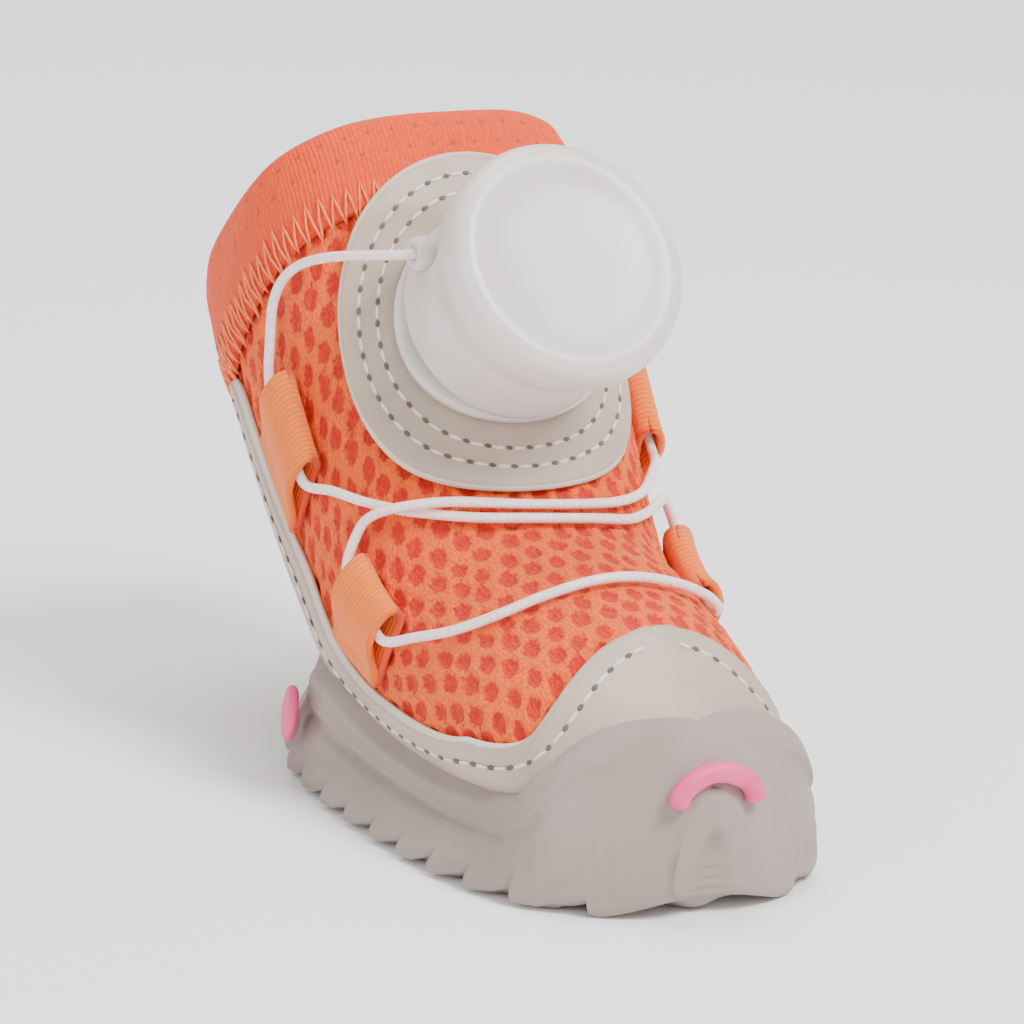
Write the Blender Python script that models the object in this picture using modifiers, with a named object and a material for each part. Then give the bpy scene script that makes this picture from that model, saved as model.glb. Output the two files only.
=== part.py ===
"""Dog boot with a lace dial: low forefoot, shaft leaning back, terraced rubber sole.

The boot stands on its sole, toe towards -Y, +Z up, symmetric about the plane x = 0. The origin lies on
the floor under the ball of the foot. All sizes are in metres.
"""
import math

import bpy
import numpy as np
from mathutils import Matrix, Vector
from mathutils.bvhtree import BVHTree

# Driving sizes of the last
LAST_LENGTH = 0.0845
LAST_HEIGHT = 0.0643
BALL_HALF_WIDTH = 0.0178

# Walls and clearances
CLEARANCE = 0.0003
UPPER_WALL = 0.0016
RAND_THICKNESS = 0.0009
PATCH_THICKNESS = 0.0009
COLLAR_THICKNESS = 0.0008
STRAP_THICKNESS = 0.0022
INSOLE_THICKNESS = 0.0030

# Rubber sole
RIM_THICKNESS = 0.0016
SOLE_HALF_WIDTH = 0.0206
SOLE_TOE_REACH = 0.0242
PAD_FRONT = -0.0203
PAD_REAR = 0.0278
LUG_COUNT = 9
LUG_STEP = 0.0013
LUG_WAVE = 0.0042
TOOTH_DEPTH = 0.0011
STEP_RUN = 0.0004
TOE_SPRING = 0.0026
TOE_HALF_WIDTH = 0.0042
RIM_BOW = 0.0050
RIB_HEIGHT = 0.0006
SIDE_BULGE = (0.0016, 0.0, 0.0030)

# Lace dial
KNOB_RADIUS = 0.0130
KNOB_HEIGHT = 0.0088
HOUSING_RADIUS = 0.0112
HOUSING_HEIGHT = 0.0083
PORT_RADIUS = 0.0018
PORT_LENGTH = 0.0022
PORT_HEIGHT = 0.0058
PORT_OFFSET_UP = 0.0058
DIAL_SHARE = 0.769

# Patch under the dial
PATCH_HALF_WIDTH = 0.0170
PATCH_HALF_HEIGHT = 0.0185

# Lace and the webbing loops it runs through
LACE_RADIUS = 0.00052
LACE_STEP = 0.0045
WEBBING_THICKNESS = 0.0007
LOOP_CHANNEL = 0.0018
LACE_EXIT = 0.0020

# Pink marks
DISC_RADIUS = 0.0029
DISC_THICKNESS = 0.0011
DISC_SIDES = 16
REAR_DISC_SHARE = 0.745
SIDE_DISC_HEIGHT = 0.110
SIDE_DISC_INSET = 0.0025
MARK_RADIUS = 0.0009
MARK_ARC_RADIUS = 0.0039
MARK_STEPS = 8
MARK_HEIGHT = 0.178

# Sections of the last from toe to collar. Lengths are shares: y of LAST_LENGTH, z of LAST_HEIGHT, half
# width of BALL_HALF_WIDTH and widest height of the section's own height. The powers set how square
# the section is below and above its widest point.
SECTION_COLUMNS = ("bottom_y", "bottom_z", "top_y", "top_z", "half_width", "widest", "low_power", "top_power")
SECTIONS = (
    (-0.237, 0.149, -0.228, 0.177, 0.170, 0.45, 2.2, 2.00),
    (-0.228, 0.133, -0.214, 0.210, 0.360, 0.42, 2.6, 2.00),
    (-0.206, 0.123, -0.191, 0.250, 0.520, 0.40, 3.0, 2.00),
    (-0.169, 0.115, -0.158, 0.296, 0.660, 0.38, 3.2, 1.90),
    (-0.126, 0.110, -0.126, 0.350, 0.770, 0.36, 3.3, 1.85),
    (-0.070, 0.109, -0.090, 0.393, 0.870, 0.35, 3.3, 1.80),
    (0.013, 0.109, -0.012, 0.420, 0.965, 0.35, 3.3, 1.85),
    (0.113, 0.109, 0.075, 0.444, 1.000, 0.36, 3.2, 1.90),
    (0.200, 0.109, 0.158, 0.475, 1.000, 0.38, 3.0, 2.10),
    (0.288, 0.115, 0.220, 0.549, 1.025, 0.42, 2.8, 2.30),
    (0.373, 0.161, 0.274, 0.642, 1.045, 0.46, 2.5, 2.50),
    (0.464, 0.239, 0.333, 0.744, 1.060, 0.48, 2.3, 2.70),
    (0.570, 0.346, 0.388, 0.840, 1.060, 0.50, 2.2, 2.80),
    (0.664, 0.459, 0.439, 0.925, 1.030, 0.50, 2.2, 3.00),
    (0.744, 0.567, 0.481, 1.000, 0.985, 0.50, 2.2, 3.00),
)

# The rand's edges: share along the boot and share around it, at the lower edge, then at the topline.
# A lower edge of None follows the opening underneath.
RAND_ROWS = (
    (0.000, None, 0.000, 1.000),
    (0.060, None, 0.075, 1.000),
    (0.120, None, 0.150, 1.000),
    (0.175, None, 0.225, 1.000),
    (0.215, None, 0.290, 1.000),
    (0.232, None, 0.345, 1.000),
    (0.243, None, 0.343, 0.930),
    (0.254, None, 0.334, 0.855),
    (0.265, None, 0.316, 0.775),
    (0.276, None, 0.300, 0.705),
    (0.290, None, 0.296, 0.632),
    (0.318, None, 0.312, 0.573),
    (0.366, None, 0.355, 0.525),
    (0.410, 0.200, 0.405, 0.497),
    (0.460, 0.200, 0.460, 0.474),
    (0.520, 0.200, 0.520, 0.463),
    (0.580, 0.200, 0.580, 0.455),
    (0.635, 0.205, 0.630, 0.462),
    (0.675, 0.245, 0.675, 0.470),
    (0.710, 0.262, 0.710, 0.470),
    (0.750, 0.252, 0.755, 0.455),
    (0.800, 0.245, 0.805, 0.440),
    (0.850, 0.222, 0.850, 0.430),
    (0.882, 0.200, 0.880, 0.420),
    (0.899, 0.205, 0.897, 0.400),
)

# Upper edge of the rubber around the boot, as shares along and around it
RIM_EDGE = (
    (0.000, 1.000), (0.150, 1.000), (0.185, 0.800), (0.230, 0.560), (0.290, 0.430), (0.360, 0.370),
    (0.450, 0.345), (0.550, 0.355), (0.620, 0.385), (0.655, 0.345), (0.690, 0.262), (0.730, 0.205),
    (0.800, 0.175), (0.870, 0.160), (0.895, 0.140),
)

OPENING_START = 0.205
OPENING_END = 0.620
OPENING_WIDTH = 0.200
COLLAR_START = 0.905

# Loops: start and end along the boot, rear and front edge around it, and where around it the lace
# enters and leaves
LOOPS = {
    "lower": (0.535, 0.625, 0.485, 0.645, 0.585, 0.597),
    "upper": (0.735, 0.815, 0.480, 0.605, 0.566, 0.552),
}

# The lace's route between the loops: share along, share around (over 1 is the left side), height
LACE_LEFT_ARC = (
    (0.858, 1.235, 0.0050), (0.874, 1.310, 0.0030), (0.872, 1.375, 0.0020), (0.850, 1.415, 0.0018),
)
LACE_UPPER_STRAND = (
    (0.700, 1.380, 0.0014), (0.664, 1.318, 0.0009), (0.622, 1.237, 0.0009), (0.582, 1.140, 0.0009),
    (0.554, 1.040, 0.0009), (0.548, 0.930, 0.0009), (0.564, 0.840, 0.0009), (0.594, 0.770, 0.0009),
    (0.626, 0.705, 0.0010), (0.645, 0.660, 0.0015),
)
LACE_LOWER_STRAND = (
    (0.500, 0.630, 0.0014), (0.470, 0.690, 0.0009), (0.447, 0.765, 0.0009), (0.436, 0.850, 0.0009),
    (0.432, 0.950, 0.0009), (0.432, 1.050, 0.0009), (0.436, 1.150, 0.0009), (0.447, 1.235, 0.0009),
    (0.470, 1.310, 0.0009), (0.500, 1.370, 0.0014),
)
LACE_CROSSING_STRAND = (
    (0.646, 1.345, 0.0017), (0.641, 1.300, 0.0022), (0.624, 1.240, 0.0026), (0.604, 1.160, 0.0018),
    (0.578, 1.045, 0.0010), (0.572, 0.935, 0.0010), (0.590, 0.845, 0.0009), (0.621, 0.765, 0.0009),
    (0.666, 0.685, 0.0009), (0.702, 0.622, 0.0014),
)

RUBBER_COLOUR = (0.478, 0.429, 0.407, 1.0)
RAND_COLOUR = (0.584, 0.496, 0.423, 1.0)
MESH_COLOUR = (0.905, 0.205, 0.060, 1.0)
COLLAR_COLOUR = (0.930, 0.215, 0.065, 1.0)
WEBBING_COLOUR = (0.945, 0.290, 0.080, 1.0)
DIAL_COLOUR = (0.880, 0.850, 0.820, 1.0)
LACE_COLOUR = (0.860, 0.800, 0.770, 1.0)
PINK_COLOUR = (0.850, 0.155, 0.330, 1.0)
INSOLE_COLOUR = (0.300, 0.290, 0.290, 1.0)


def clear_scene():
    for thing in list(bpy.data.objects):
        bpy.data.objects.remove(thing, do_unlink=True)


def material(name, colour, roughness):
    made = bpy.data.materials.new(name)
    made.use_nodes = True
    shader = made.node_tree.nodes["Principled BSDF"]
    shader.inputs["Base Color"].default_value = colour
    shader.inputs["Roughness"].default_value = roughness
    shader.inputs["Metallic"].default_value = 0.0
    return made


# The last: sections blended along the boot

def section_table():
    sizes = {"y": LAST_LENGTH, "z": LAST_HEIGHT}
    table = np.array(SECTIONS, dtype=float)
    for column, title in enumerate(SECTION_COLUMNS):
        if title[-2:] in ("_y", "_z"):
            table[:, column] *= sizes[title[-1]]
    table[:, SECTION_COLUMNS.index("half_width")] *= BALL_HALF_WIDTH
    return table


TABLE = section_table()
LAST_ROW = len(TABLE) - 1


def section_at(u):
    """Section values at share u along the boot, by a Catmull-Rom curve through the table's rows."""
    place = min(max(u, 0.0), 1.0) * LAST_ROW
    row = min(int(place), LAST_ROW - 1)
    t = place - row
    before = TABLE[max(row - 1, 0)]
    start = TABLE[row]
    end = TABLE[row + 1]
    after = TABLE[min(row + 2, LAST_ROW)]
    return 0.5 * (2 * start + (end - before) * t + (2 * before - 5 * start + 4 * end - after) * t ** 2
                  + (3 * start - before - 3 * end + after) * t ** 3)


def last_point(u, v):
    """Point on the upper's outer face: v runs from the bottom (0) over the right side to the top (1)."""
    if v < 0.0:
        return last_point(u, -v) * np.array((-1.0, 1.0, 1.0))
    if v > 1.0:
        return last_point(u, 2.0 - v) * np.array((-1.0, 1.0, 1.0))
    bottom_y, bottom_z, top_y, top_z, half_width, widest, low_power, top_power = section_at(u)
    across = math.sin(math.pi * v)
    along = math.cos(math.pi * v)
    if along >= 0.0:
        power = low_power
        share = widest * (1.0 - along ** (2.0 / power))
    else:
        power = top_power
        share = widest + (1.0 - widest) * (-along) ** (2.0 / power)
    x = half_width * max(across, 0.0) ** (2.0 / power)
    return np.array((x, bottom_y + (top_y - bottom_y) * share, bottom_z + (top_z - bottom_z) * share))


def last_normal(u, v):
    small = 0.004
    along = last_point(min(u + small, 1.0), v) - last_point(max(u - small, 0.0), v)
    around = last_point(u, v + small) - last_point(u, v - small)
    normal = np.cross(along, around)
    return normal / np.linalg.norm(normal)


def skin(u, v, height):
    """Point at a height over the upper's outer face."""
    return last_point(u, v) + last_normal(u, v) * height


def on_plane(point):
    return abs(point[0]) < 1e-7


def snapped(u, v, height):
    """Skin point, set exactly on the middle plane at v = 0 and v = 1."""
    point = skin(u, v, height)
    if v in (0.0, 1.0):
        point[0] = 0.0
    return point


def blend(pairs, place):
    """Value at a place between the rows of a two-column table."""
    keys = [pair[0] for pair in pairs]
    values = [pair[1] for pair in pairs]
    return float(np.interp(place, keys, values))


def ease(low, high, value):
    share = min(max((value - low) / (high - low), 0.0), 1.0)
    return share * share * (3.0 - 2.0 * share)


def opening_edge(u):
    """Share around the boot where the opening underneath ends."""
    if u <= OPENING_START or u >= OPENING_END:
        return 0.0
    share = (u - OPENING_START) / (OPENING_END - OPENING_START)
    return OPENING_WIDTH * math.sin(math.pi * share) ** 0.4


TOP_LINE_U = np.linspace(0.0, 1.0, 241)
TOP_LINE = np.array([last_point(u, 1.0) for u in TOP_LINE_U])
TOP_LENGTH = np.concatenate(((0.0,), np.cumsum(np.linalg.norm(np.diff(TOP_LINE, axis=0), axis=1))))


def share_at_distance(distance):
    """Share along the boot at a distance along the top line, measured from the dial's centre."""
    start = float(np.interp(DIAL_SHARE, TOP_LINE_U, TOP_LENGTH))
    return float(np.interp(start + distance, TOP_LENGTH, TOP_LINE_U))


def turn_at_distance(u, distance):
    """Share around the boot at a distance sideways from the top line."""
    turns = np.linspace(1.0, 0.5, 41)
    points = np.array([last_point(u, v) for v in turns])
    lengths = np.concatenate(((0.0,), np.cumsum(np.linalg.norm(np.diff(points, axis=0), axis=1))))
    return float(np.interp(distance, lengths, turns))


# Mesh builders

class Cage:
    """Collects points and faces, then makes an object of them."""

    def __init__(self):
        self.points = []
        self.faces = []

    def add_grid(self, rows):
        start = len(self.points)
        width = len(rows[0])
        for row in rows:
            self.points.extend([tuple(point) for point in row])
        return [[start + r * width + c for c in range(width)] for r in range(len(rows))]

    def cover(self, ids, outward=True, closed_rows=False):
        count = len(ids)
        for r in range(count if closed_rows else count - 1):
            upper = ids[r]
            lower = ids[(r + 1) % count]
            for c in range(len(upper) - 1):
                face = (upper[c], lower[c], lower[c + 1], upper[c + 1])
                self.faces.append(face if outward else face[::-1])

    def cap(self, ids, outward=True, corner=None):
        """Faces across a half ring, zipped from its ends on the middle plane to its corner."""
        corner = corner or len(ids) // 2
        low = ids[:corner + 1]
        high = ids[corner:][::-1]
        a = 0
        b = 0
        for _ in range(len(ids) - 2):
            if (a + 1) * (len(high) - 1) <= (b + 1) * (len(low) - 1):
                face = (low[a], low[a + 1], high[b])
                a += 1
            else:
                face = (low[a], high[b + 1], high[b])
                b += 1
            self.faces.append(face if outward else face[::-1])

    def wall(self, outer, inner):
        for c in range(len(outer) - 1):
            ends = (outer[c], outer[c + 1])
            if all(on_plane(self.points[end]) for end in ends):
                continue
            self.faces.append((outer[c + 1], outer[c], inner[c], inner[c + 1]))

    def close_end(self, outer, inner):
        """End face between two rows, also where they have different numbers of points."""
        a = 0
        b = 0
        while a < len(outer) - 1 or b < len(inner) - 1:
            if (a + 1) * (len(inner) - 1) <= (b + 1) * (len(outer) - 1):
                self.faces.append((outer[a + 1], outer[a], inner[b]))
                a += 1
            else:
                self.faces.append((outer[a], inner[b], inner[b + 1]))
                b += 1

    def to_object(self, name, look, collection, mirror=True):
        mesh = bpy.data.meshes.new(name)
        mesh.from_pydata(self.points, [], self.faces)
        mesh.validate()
        thing = bpy.data.objects.new(name, mesh)
        collection.objects.link(thing)
        mesh.materials.append(look)
        if mirror:
            copy = thing.modifiers.new("Mirror", "MIRROR")
            copy.use_axis = (True, False, False)
            copy.use_clip = True
            copy.merge_threshold = 0.00001
        return thing


def shell(name, outer_rows, inner_rows, look, collection, first_inner=0, corner=None):
    """Half shell between two faces, open at the middle plane and mirrored there.

    first_inner is the outer row that the first inner row lies under; both ends are capped there.
    """
    cage = Cage()
    outer = cage.add_grid(outer_rows)
    inner = cage.add_grid(inner_rows)
    cage.cover(outer)
    cage.cover(inner, outward=False)
    cage.cap(outer[0], corner=corner)
    cage.cap(inner[0], outward=False)
    cage.close_end(outer[-1], inner[-1])
    matched = outer[first_inner:]
    cage.wall([row[0] for row in matched], [row[0] for row in inner])
    cage.wall([row[-1] for row in matched][::-1], [row[-1] for row in inner][::-1])
    return cage.to_object(name, look, collection)


def shade(thing, angle=40.0):
    for face in thing.data.polygons:
        face.use_smooth = True
    thing.data.set_sharp_from_angle(angle=math.radians(angle))


# Upper

UPPER_ROWS = 24
UPPER_POINTS = 13
HOLLOW_ROW = 4
HOLLOW_START = 0.17


def make_upper(look, collection):
    """Cloth upper, solid at the toe and hollow from its fifth row on."""
    front = list(np.linspace(0.0, HOLLOW_START, HOLLOW_ROW + 1))
    back = list(np.linspace(HOLLOW_START, 1.0, UPPER_ROWS - HOLLOW_ROW))[1:]
    outer_rows = []
    inner_rows = []
    for index, u in enumerate(front + back):
        edge = opening_edge(u)
        turns = [edge + (1.0 - edge) * step / UPPER_POINTS for step in range(UPPER_POINTS + 1)]
        outer_rows.append([snapped(u, v, 0.0) for v in turns])
        if index >= HOLLOW_ROW:
            inner_rows.append([snapped(u, v, -UPPER_WALL) for v in turns])
    return shell("upper", outer_rows, inner_rows, look, collection, first_inner=HOLLOW_ROW)


# Rand

RAND_POINTS = 9
RAND_BEND = 6.0


def rand_rows(height):
    rows = []
    for low_u, low_v, top_u, top_v in RAND_ROWS:
        edge = opening_edge(low_u) if low_v is None else low_v
        row = []
        for step in range(RAND_POINTS + 1):
            share = step / RAND_POINTS
            v = edge + (top_v - edge) * share
            row.append(snapped(low_u + (top_u - low_u) * share ** RAND_BEND, v, height))
        rows.append(row)
    return rows


def make_rand(look, collection):
    low = CLEARANCE
    high = CLEARANCE + RAND_THICKNESS
    return shell("rand", rand_rows(high), rand_rows(low), look, collection)


# Outsole

SOLE_BOTTOM_POINTS = 8
SOLE_SIDE_POINTS = 4
SOLE_INNER_POINTS = 8
OVER_RAND = 2 * CLEARANCE + RAND_THICKNESS
HEEL_START = 0.690
HEEL_EASE = 0.045
# Clearances more under the toe, and the shares along the boot where they fade out
TOE_SLACK = 1.4
TOE_SLACK_FADE = (0.22, 0.36)
THICKER_FROM = 0.62
STRAP_START = 0.750
STRAP_END = 0.895
STRAP_ROWS = 9
BALL_Y = 0.012
STRETCH_START = -0.006
TOE_ROUNDNESS = 3.4
# Where under its edge the side swells most, and by how many rim thicknesses, also at the toe
BELOW_RIM = 0.80
RIM_SWELL = 0.6
TOE_SWELL = 1.0
TOE_SWELL_FADE = (0.12, 0.30)

# Shares of the toe bumper's length where its rows lie
TOE_STEPS = (0.0, 0.12, 0.45)
# Share of a lug where its slope has come down to the floor, and the tooth's reach there
LUG_SLOPE_END = 0.62
TOOTH_AT_SLOPE_END = 0.75
# Rear rim: run behind the pad, steps above the floor, reach of the tooth, bow
REAR_RIM = ((0.0008, 2.2, 0.0, 0.6), (0.0022, 0.9, 0.6, 1.0), (0.0036, 1.0, 0.6, 1.0))
# Rows that lead from the rear rim to the strap: share along the boot, how far they are strap already
STRAP_LEAD = ((STRAP_START - 0.017, 0.45), (STRAP_START, 0.85))


def sole_half_width(y):
    """Half width of the tread at y: an egg, widest behind the ball, blunt at the toe."""
    if y < BALL_Y:
        share = (BALL_Y - y) / (SOLE_TOE_REACH + BALL_Y)
        return SOLE_HALF_WIDTH * max(1.0 - min(share, 1.0) ** TOE_ROUNDNESS, 0.0) ** 0.5
    return SOLE_HALF_WIDTH * (1.0 - 0.10 * ((y - BALL_Y) / (PAD_REAR - BALL_Y)) ** 2)


def tread_floor(y):
    """Height of the tread's lowest points: flat, with a spring at the toe."""
    if y < PAD_FRONT:
        share = (PAD_FRONT - y) / (SOLE_TOE_REACH + PAD_FRONT)
        return TOE_SPRING * share ** 1.6
    return 0.0


def last_y_under(y):
    """The last's own y above a tread y: the toe bumper reaches forward of the last."""
    if y > STRETCH_START:
        return y
    toe = TABLE[0][0]
    share = (STRETCH_START - y) / (SOLE_TOE_REACH + STRETCH_START)
    return STRETCH_START + (toe - STRETCH_START) * share


def share_under(y):
    """Share along the boot whose section stands over a tread y."""
    target = last_y_under(y)
    shares = np.linspace(0.0, STRAP_START, 160)
    return float(np.interp(target, [section_at(u)[0] for u in shares], shares))


def rim_height(u):
    """Thickness of the rubber over the last at its upper edge."""
    seat = seat_height(u)
    thickness = RIM_THICKNESS + (STRAP_THICKNESS - RIM_THICKNESS) * ease(THICKER_FROM, STRAP_START, u)
    return seat + thickness


def seat_height(u):
    """Height of the sole's inner face over the upper: room for the rand, then close to the upper."""
    over = OVER_RAND + CLEARANCE * (1.0 + TOE_SLACK * (1.0 - ease(*TOE_SLACK_FADE, u)))
    return over + (CLEARANCE - over) * ease(HEEL_START, HEEL_START + HEEL_EASE, u)


def wave(x, half_width, bow):
    """Shift of a lug's edge along y: a W across the sole, or a bow for the rear rim."""
    share = x / half_width
    return LUG_WAVE * 0.5 * (1.0 - math.cos(2.0 * math.pi * share)) * (1.0 - bow) \
        + RIM_BOW * (1.0 - share * share) * bow


def curve_point(start, first, second, end, t):
    """Point at t on the cubic curve with these four control points."""
    s = 1.0 - t
    return s ** 3 * start + 3 * s ** 2 * t * first + 3 * s * t ** 2 * second + t ** 3 * end


def tread_row(y, lift, tooth, bow):
    """Half row of the sole's outer face, from the middle of the tread to the rim."""
    u = share_under(y)
    half_width = max(sole_half_width(y), TOE_HALF_WIDTH)
    bottom = tread_floor(y) + lift
    waved = ease(-SOLE_TOE_REACH, PAD_FRONT, y)
    points = []
    for step in range(SOLE_BOTTOM_POINTS + 1):
        x = half_width * step / SOLE_BOTTOM_POINTS
        points.append(np.array((x, y + wave(x, half_width, bow) * waved, bottom)))
    rim_v = blend(RIM_EDGE, u)
    edge = points[-1] + np.array((tooth * TOOTH_DEPTH, 0.0, 0.0))
    points[-1] = edge
    swollen = RIM_SWELL + (TOE_SWELL - RIM_SWELL) * (1.0 - ease(*TOE_SWELL_FADE, u))
    below = skin(u, rim_v * BELOW_RIM, rim_height(u) + RIM_THICKNESS * swollen)
    rim = snapped(u, rim_v, rim_height(u))
    swell = edge + np.array(SIDE_BULGE)
    for step in range(1, SOLE_SIDE_POINTS + 1):
        t = step / SOLE_SIDE_POINTS
        points.append(curve_point(edge, swell, below, rim, t))
    if rim_v == 1.0:
        points[-1][0] = 0.0
    return u, points


def strap_row(u, rib):
    """Half row of the heel strap's outer face."""
    count = SOLE_BOTTOM_POINTS + SOLE_SIDE_POINTS
    edge_v = blend(RIM_EDGE, u)
    points = []
    for step in range(count + 1):
        v = edge_v * step / count
        height = seat_height(u) + STRAP_THICKNESS + rib * RIB_HEIGHT * (1.0 - (step / count) ** 4)
        points.append(snapped(u, v, height))
    return points


def inner_row(u):
    edge_v = blend(RIM_EDGE, u)
    turns = [edge_v * step / SOLE_INNER_POINTS for step in range(SOLE_INNER_POINTS + 1)]
    return [snapped(u, v, seat_height(u)) for v in turns]


def sole_rows():
    """All rows of the sole from toe to strap end: outer points and inner points."""
    outer = []
    inner = []

    def add(y, lift, tooth, bow):
        u, points = tread_row(y, lift, tooth, bow)
        outer.append(points)
        inner.append(inner_row(u))

    for share in TOE_STEPS:
        add(-SOLE_TOE_REACH + (SOLE_TOE_REACH + PAD_FRONT) * share, 0.0, 0.0, 0.0)
    pitch = (PAD_REAR - PAD_FRONT) / LUG_COUNT
    for lug in range(LUG_COUNT):
        front = PAD_FRONT + lug * pitch
        add(front + STEP_RUN, LUG_STEP, 0.0, 0.0)
        add(front + pitch * LUG_SLOPE_END, 0.0, TOOTH_AT_SLOPE_END, 0.0)
        add(front + pitch, 0.0, 1.0, 0.0)
    for run, steps, tooth, bow in REAR_RIM:
        add(PAD_REAR + run, LUG_STEP * steps, tooth, bow)
    behind = outer[-1]
    for u, share in STRAP_LEAD:
        strap = strap_row(u, 0.0)
        rise = 0.5 * (np.array(strap[0]) - np.array(behind[0]))
        fades = np.linspace(1.0, 0.0, len(strap))
        outer.append([(point + rise * fade) * (1.0 - share) + other * share
                      for point, fade, other in zip(behind, fades, strap)])
        inner.append(inner_row(u))
    for index, u in enumerate(np.linspace(STRAP_START, STRAP_END, STRAP_ROWS + 1)[1:]):
        outer.append(strap_row(u, 1.0 if index % 3 == 1 else 0.0))
        inner.append(inner_row(u))
    return outer, inner


def make_outsole(look, collection):
    outer, inner = sole_rows()
    return shell("outsole", outer, inner, look, collection, corner=SOLE_BOTTOM_POINTS)


# Insole

INSOLE_END_INSET = 0.022
INSOLE_ROWS = 17
INSOLE_CHAMFER = 0.12


def make_insole(look, collection):
    """Flat footbed that fills the opening underneath and lies on the sole."""
    shares = np.linspace(OPENING_START + INSOLE_END_INSET, OPENING_END - INSOLE_END_INSET, INSOLE_ROWS)
    half = []
    for u in shares:
        edge = skin(u, opening_edge(u), -UPPER_WALL * 0.5)
        seat = section_at(u)[1] - seat_height(u) + 2 * CLEARANCE
        half.append((edge[0] - 3 * CLEARANCE, edge[1], seat))
    half = [(0.0,) + half[0][1:]] + half + [(0.0,) + half[-1][1:]]
    cage = Cage()
    rows = []
    inset = INSOLE_THICKNESS * INSOLE_CHAMFER
    top = INSOLE_THICKNESS
    for height, shrink in ((0.0, inset), (inset, 0.0), (top - inset, 0.0), (top, inset)):
        rows.append([np.array((max(x - shrink, 0.0), y, seat + height)) for x, y, seat in half])
    ids = cage.add_grid(rows)
    cage.cover(ids, outward=False)
    cage.cap(ids[0], outward=False)
    cage.cap(ids[-1], outward=True)
    return cage.to_object("insole", look, collection)


# Collar band

COLLAR_POINTS = 15
# The band's inner face is this share shorter, and its folded edge is rounded by these thicknesses
COLLAR_SHORTER_INSIDE = 0.02
FOLD_REACH = 0.6
FOLD_LIFT = 0.75


def make_collar(look, collection):
    """Folded band that clasps the upper's rim, as a ring of one closed cross-section."""
    inside = -UPPER_WALL - CLEARANCE
    outside = CLEARANCE
    fold = CLEARANCE
    thick = COLLAR_THICKNESS
    outer_shares = list(np.linspace(COLLAR_START, 1.0, 3))
    inner_shares = [1.0, COLLAR_START + COLLAR_SHORTER_INSIDE]
    profile = [(u, outside + thick, 0.0) for u in outer_shares]
    edge = fold + thick * FOLD_LIFT
    profile += [(1.0, outside + thick * FOLD_REACH, edge), (1.0, inside - thick * FOLD_REACH, edge)]
    profile += [(u, inside - thick, 0.0) for u in inner_shares]
    profile += [(u, inside, 0.0) for u in inner_shares[::-1]]
    profile += [(1.0, inside, fold), (1.0, outside, fold)]
    profile += [(u, outside, 0.0) for u in outer_shares[::-1]]
    turns = [step / COLLAR_POINTS for step in range(COLLAR_POINTS + 1)]
    top = np.array(TABLE[-1][2:4]) - np.array(TABLE[-2][2:4])
    low = np.array(TABLE[-1][0:2]) - np.array(TABLE[-2][0:2])
    rise = top / np.linalg.norm(top) + low / np.linalg.norm(low)
    rise = np.array((0.0, rise[0], rise[1])) / np.linalg.norm(rise)
    rows = [[snapped(u, v, height) + rise * lift for v in turns] for u, height, lift in profile]
    cage = Cage()
    cage.cover(cage.add_grid(rows), closed_rows=True)
    return cage.to_object("collar_band", look, collection)


# Patch, dial and ports

# Shares along the boot between which the patch rises over the collar band
PATCH_STEP = (COLLAR_START - 0.045, COLLAR_START - 0.008)
PATCH_TURNS = 14
PATCH_RINGS = (0.28, 0.54, 0.78, 1.0)
FOOT_RINGS = (0.3, 0.65, 0.94, 1.0)
FOOT_EDGE = 0.0008
# Housing above its foot: shares of its height and of its radius
HOUSING_PROFILE = ((0.434, 0.955), (0.819, 0.940), (0.928, 0.935), (1.000, 0.890))
PORT_SIDES = 12
BORE_SIDES = 10


def patch_seat(u):
    """Height of the patch's underside: over the upper, and over the collar band near the rim."""
    return CLEARANCE + (COLLAR_THICKNESS + CLEARANCE) * ease(*PATCH_STEP, u)


def patch_point(ring, turn, radius_up, radius_side, height):
    angle = math.pi * turn
    u = share_at_distance(-radius_up * ring * math.cos(angle))
    side = radius_side * ring * math.sin(angle)
    v = turn_at_distance(u, side) if turn not in (0.0, 1.0) else 1.0
    return snapped(u, v, patch_seat(u) + height)


def polar_rows(rings, radius_up, radius_side, height):
    turns = [step / PATCH_TURNS for step in range(PATCH_TURNS + 1)]
    return [[patch_point(ring, turn, radius_up, radius_side, height) for turn in turns] for ring in rings]


def make_patch(look, collection):
    outer = polar_rows(PATCH_RINGS, PATCH_HALF_HEIGHT, PATCH_HALF_WIDTH, PATCH_THICKNESS)
    inner = polar_rows(PATCH_RINGS, PATCH_HALF_HEIGHT, PATCH_HALF_WIDTH, 0.0)
    return shell("dial_patch", outer, inner, look, collection)


def dial_frame():
    """Seat point and axis of the dial, and the direction up the shaft across it."""
    seat = skin(DIAL_SHARE, 1.0, patch_seat(DIAL_SHARE) + PATCH_THICKNESS)
    axis = last_normal(DIAL_SHARE, 1.0)
    axis[0] = 0.0
    axis /= np.linalg.norm(axis)
    up = np.cross(axis, np.array((1.0, 0.0, 0.0)))
    if up[2] < 0.0:
        up = -up
    return seat, axis, up


def port_places():
    seat, axis, up = dial_frame()
    centre = seat + axis * PORT_HEIGHT + up * PORT_OFFSET_UP
    reach = math.sqrt(HOUSING_RADIUS ** 2 - PORT_OFFSET_UP ** 2) + PORT_LENGTH * 0.7
    return centre, reach


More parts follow.
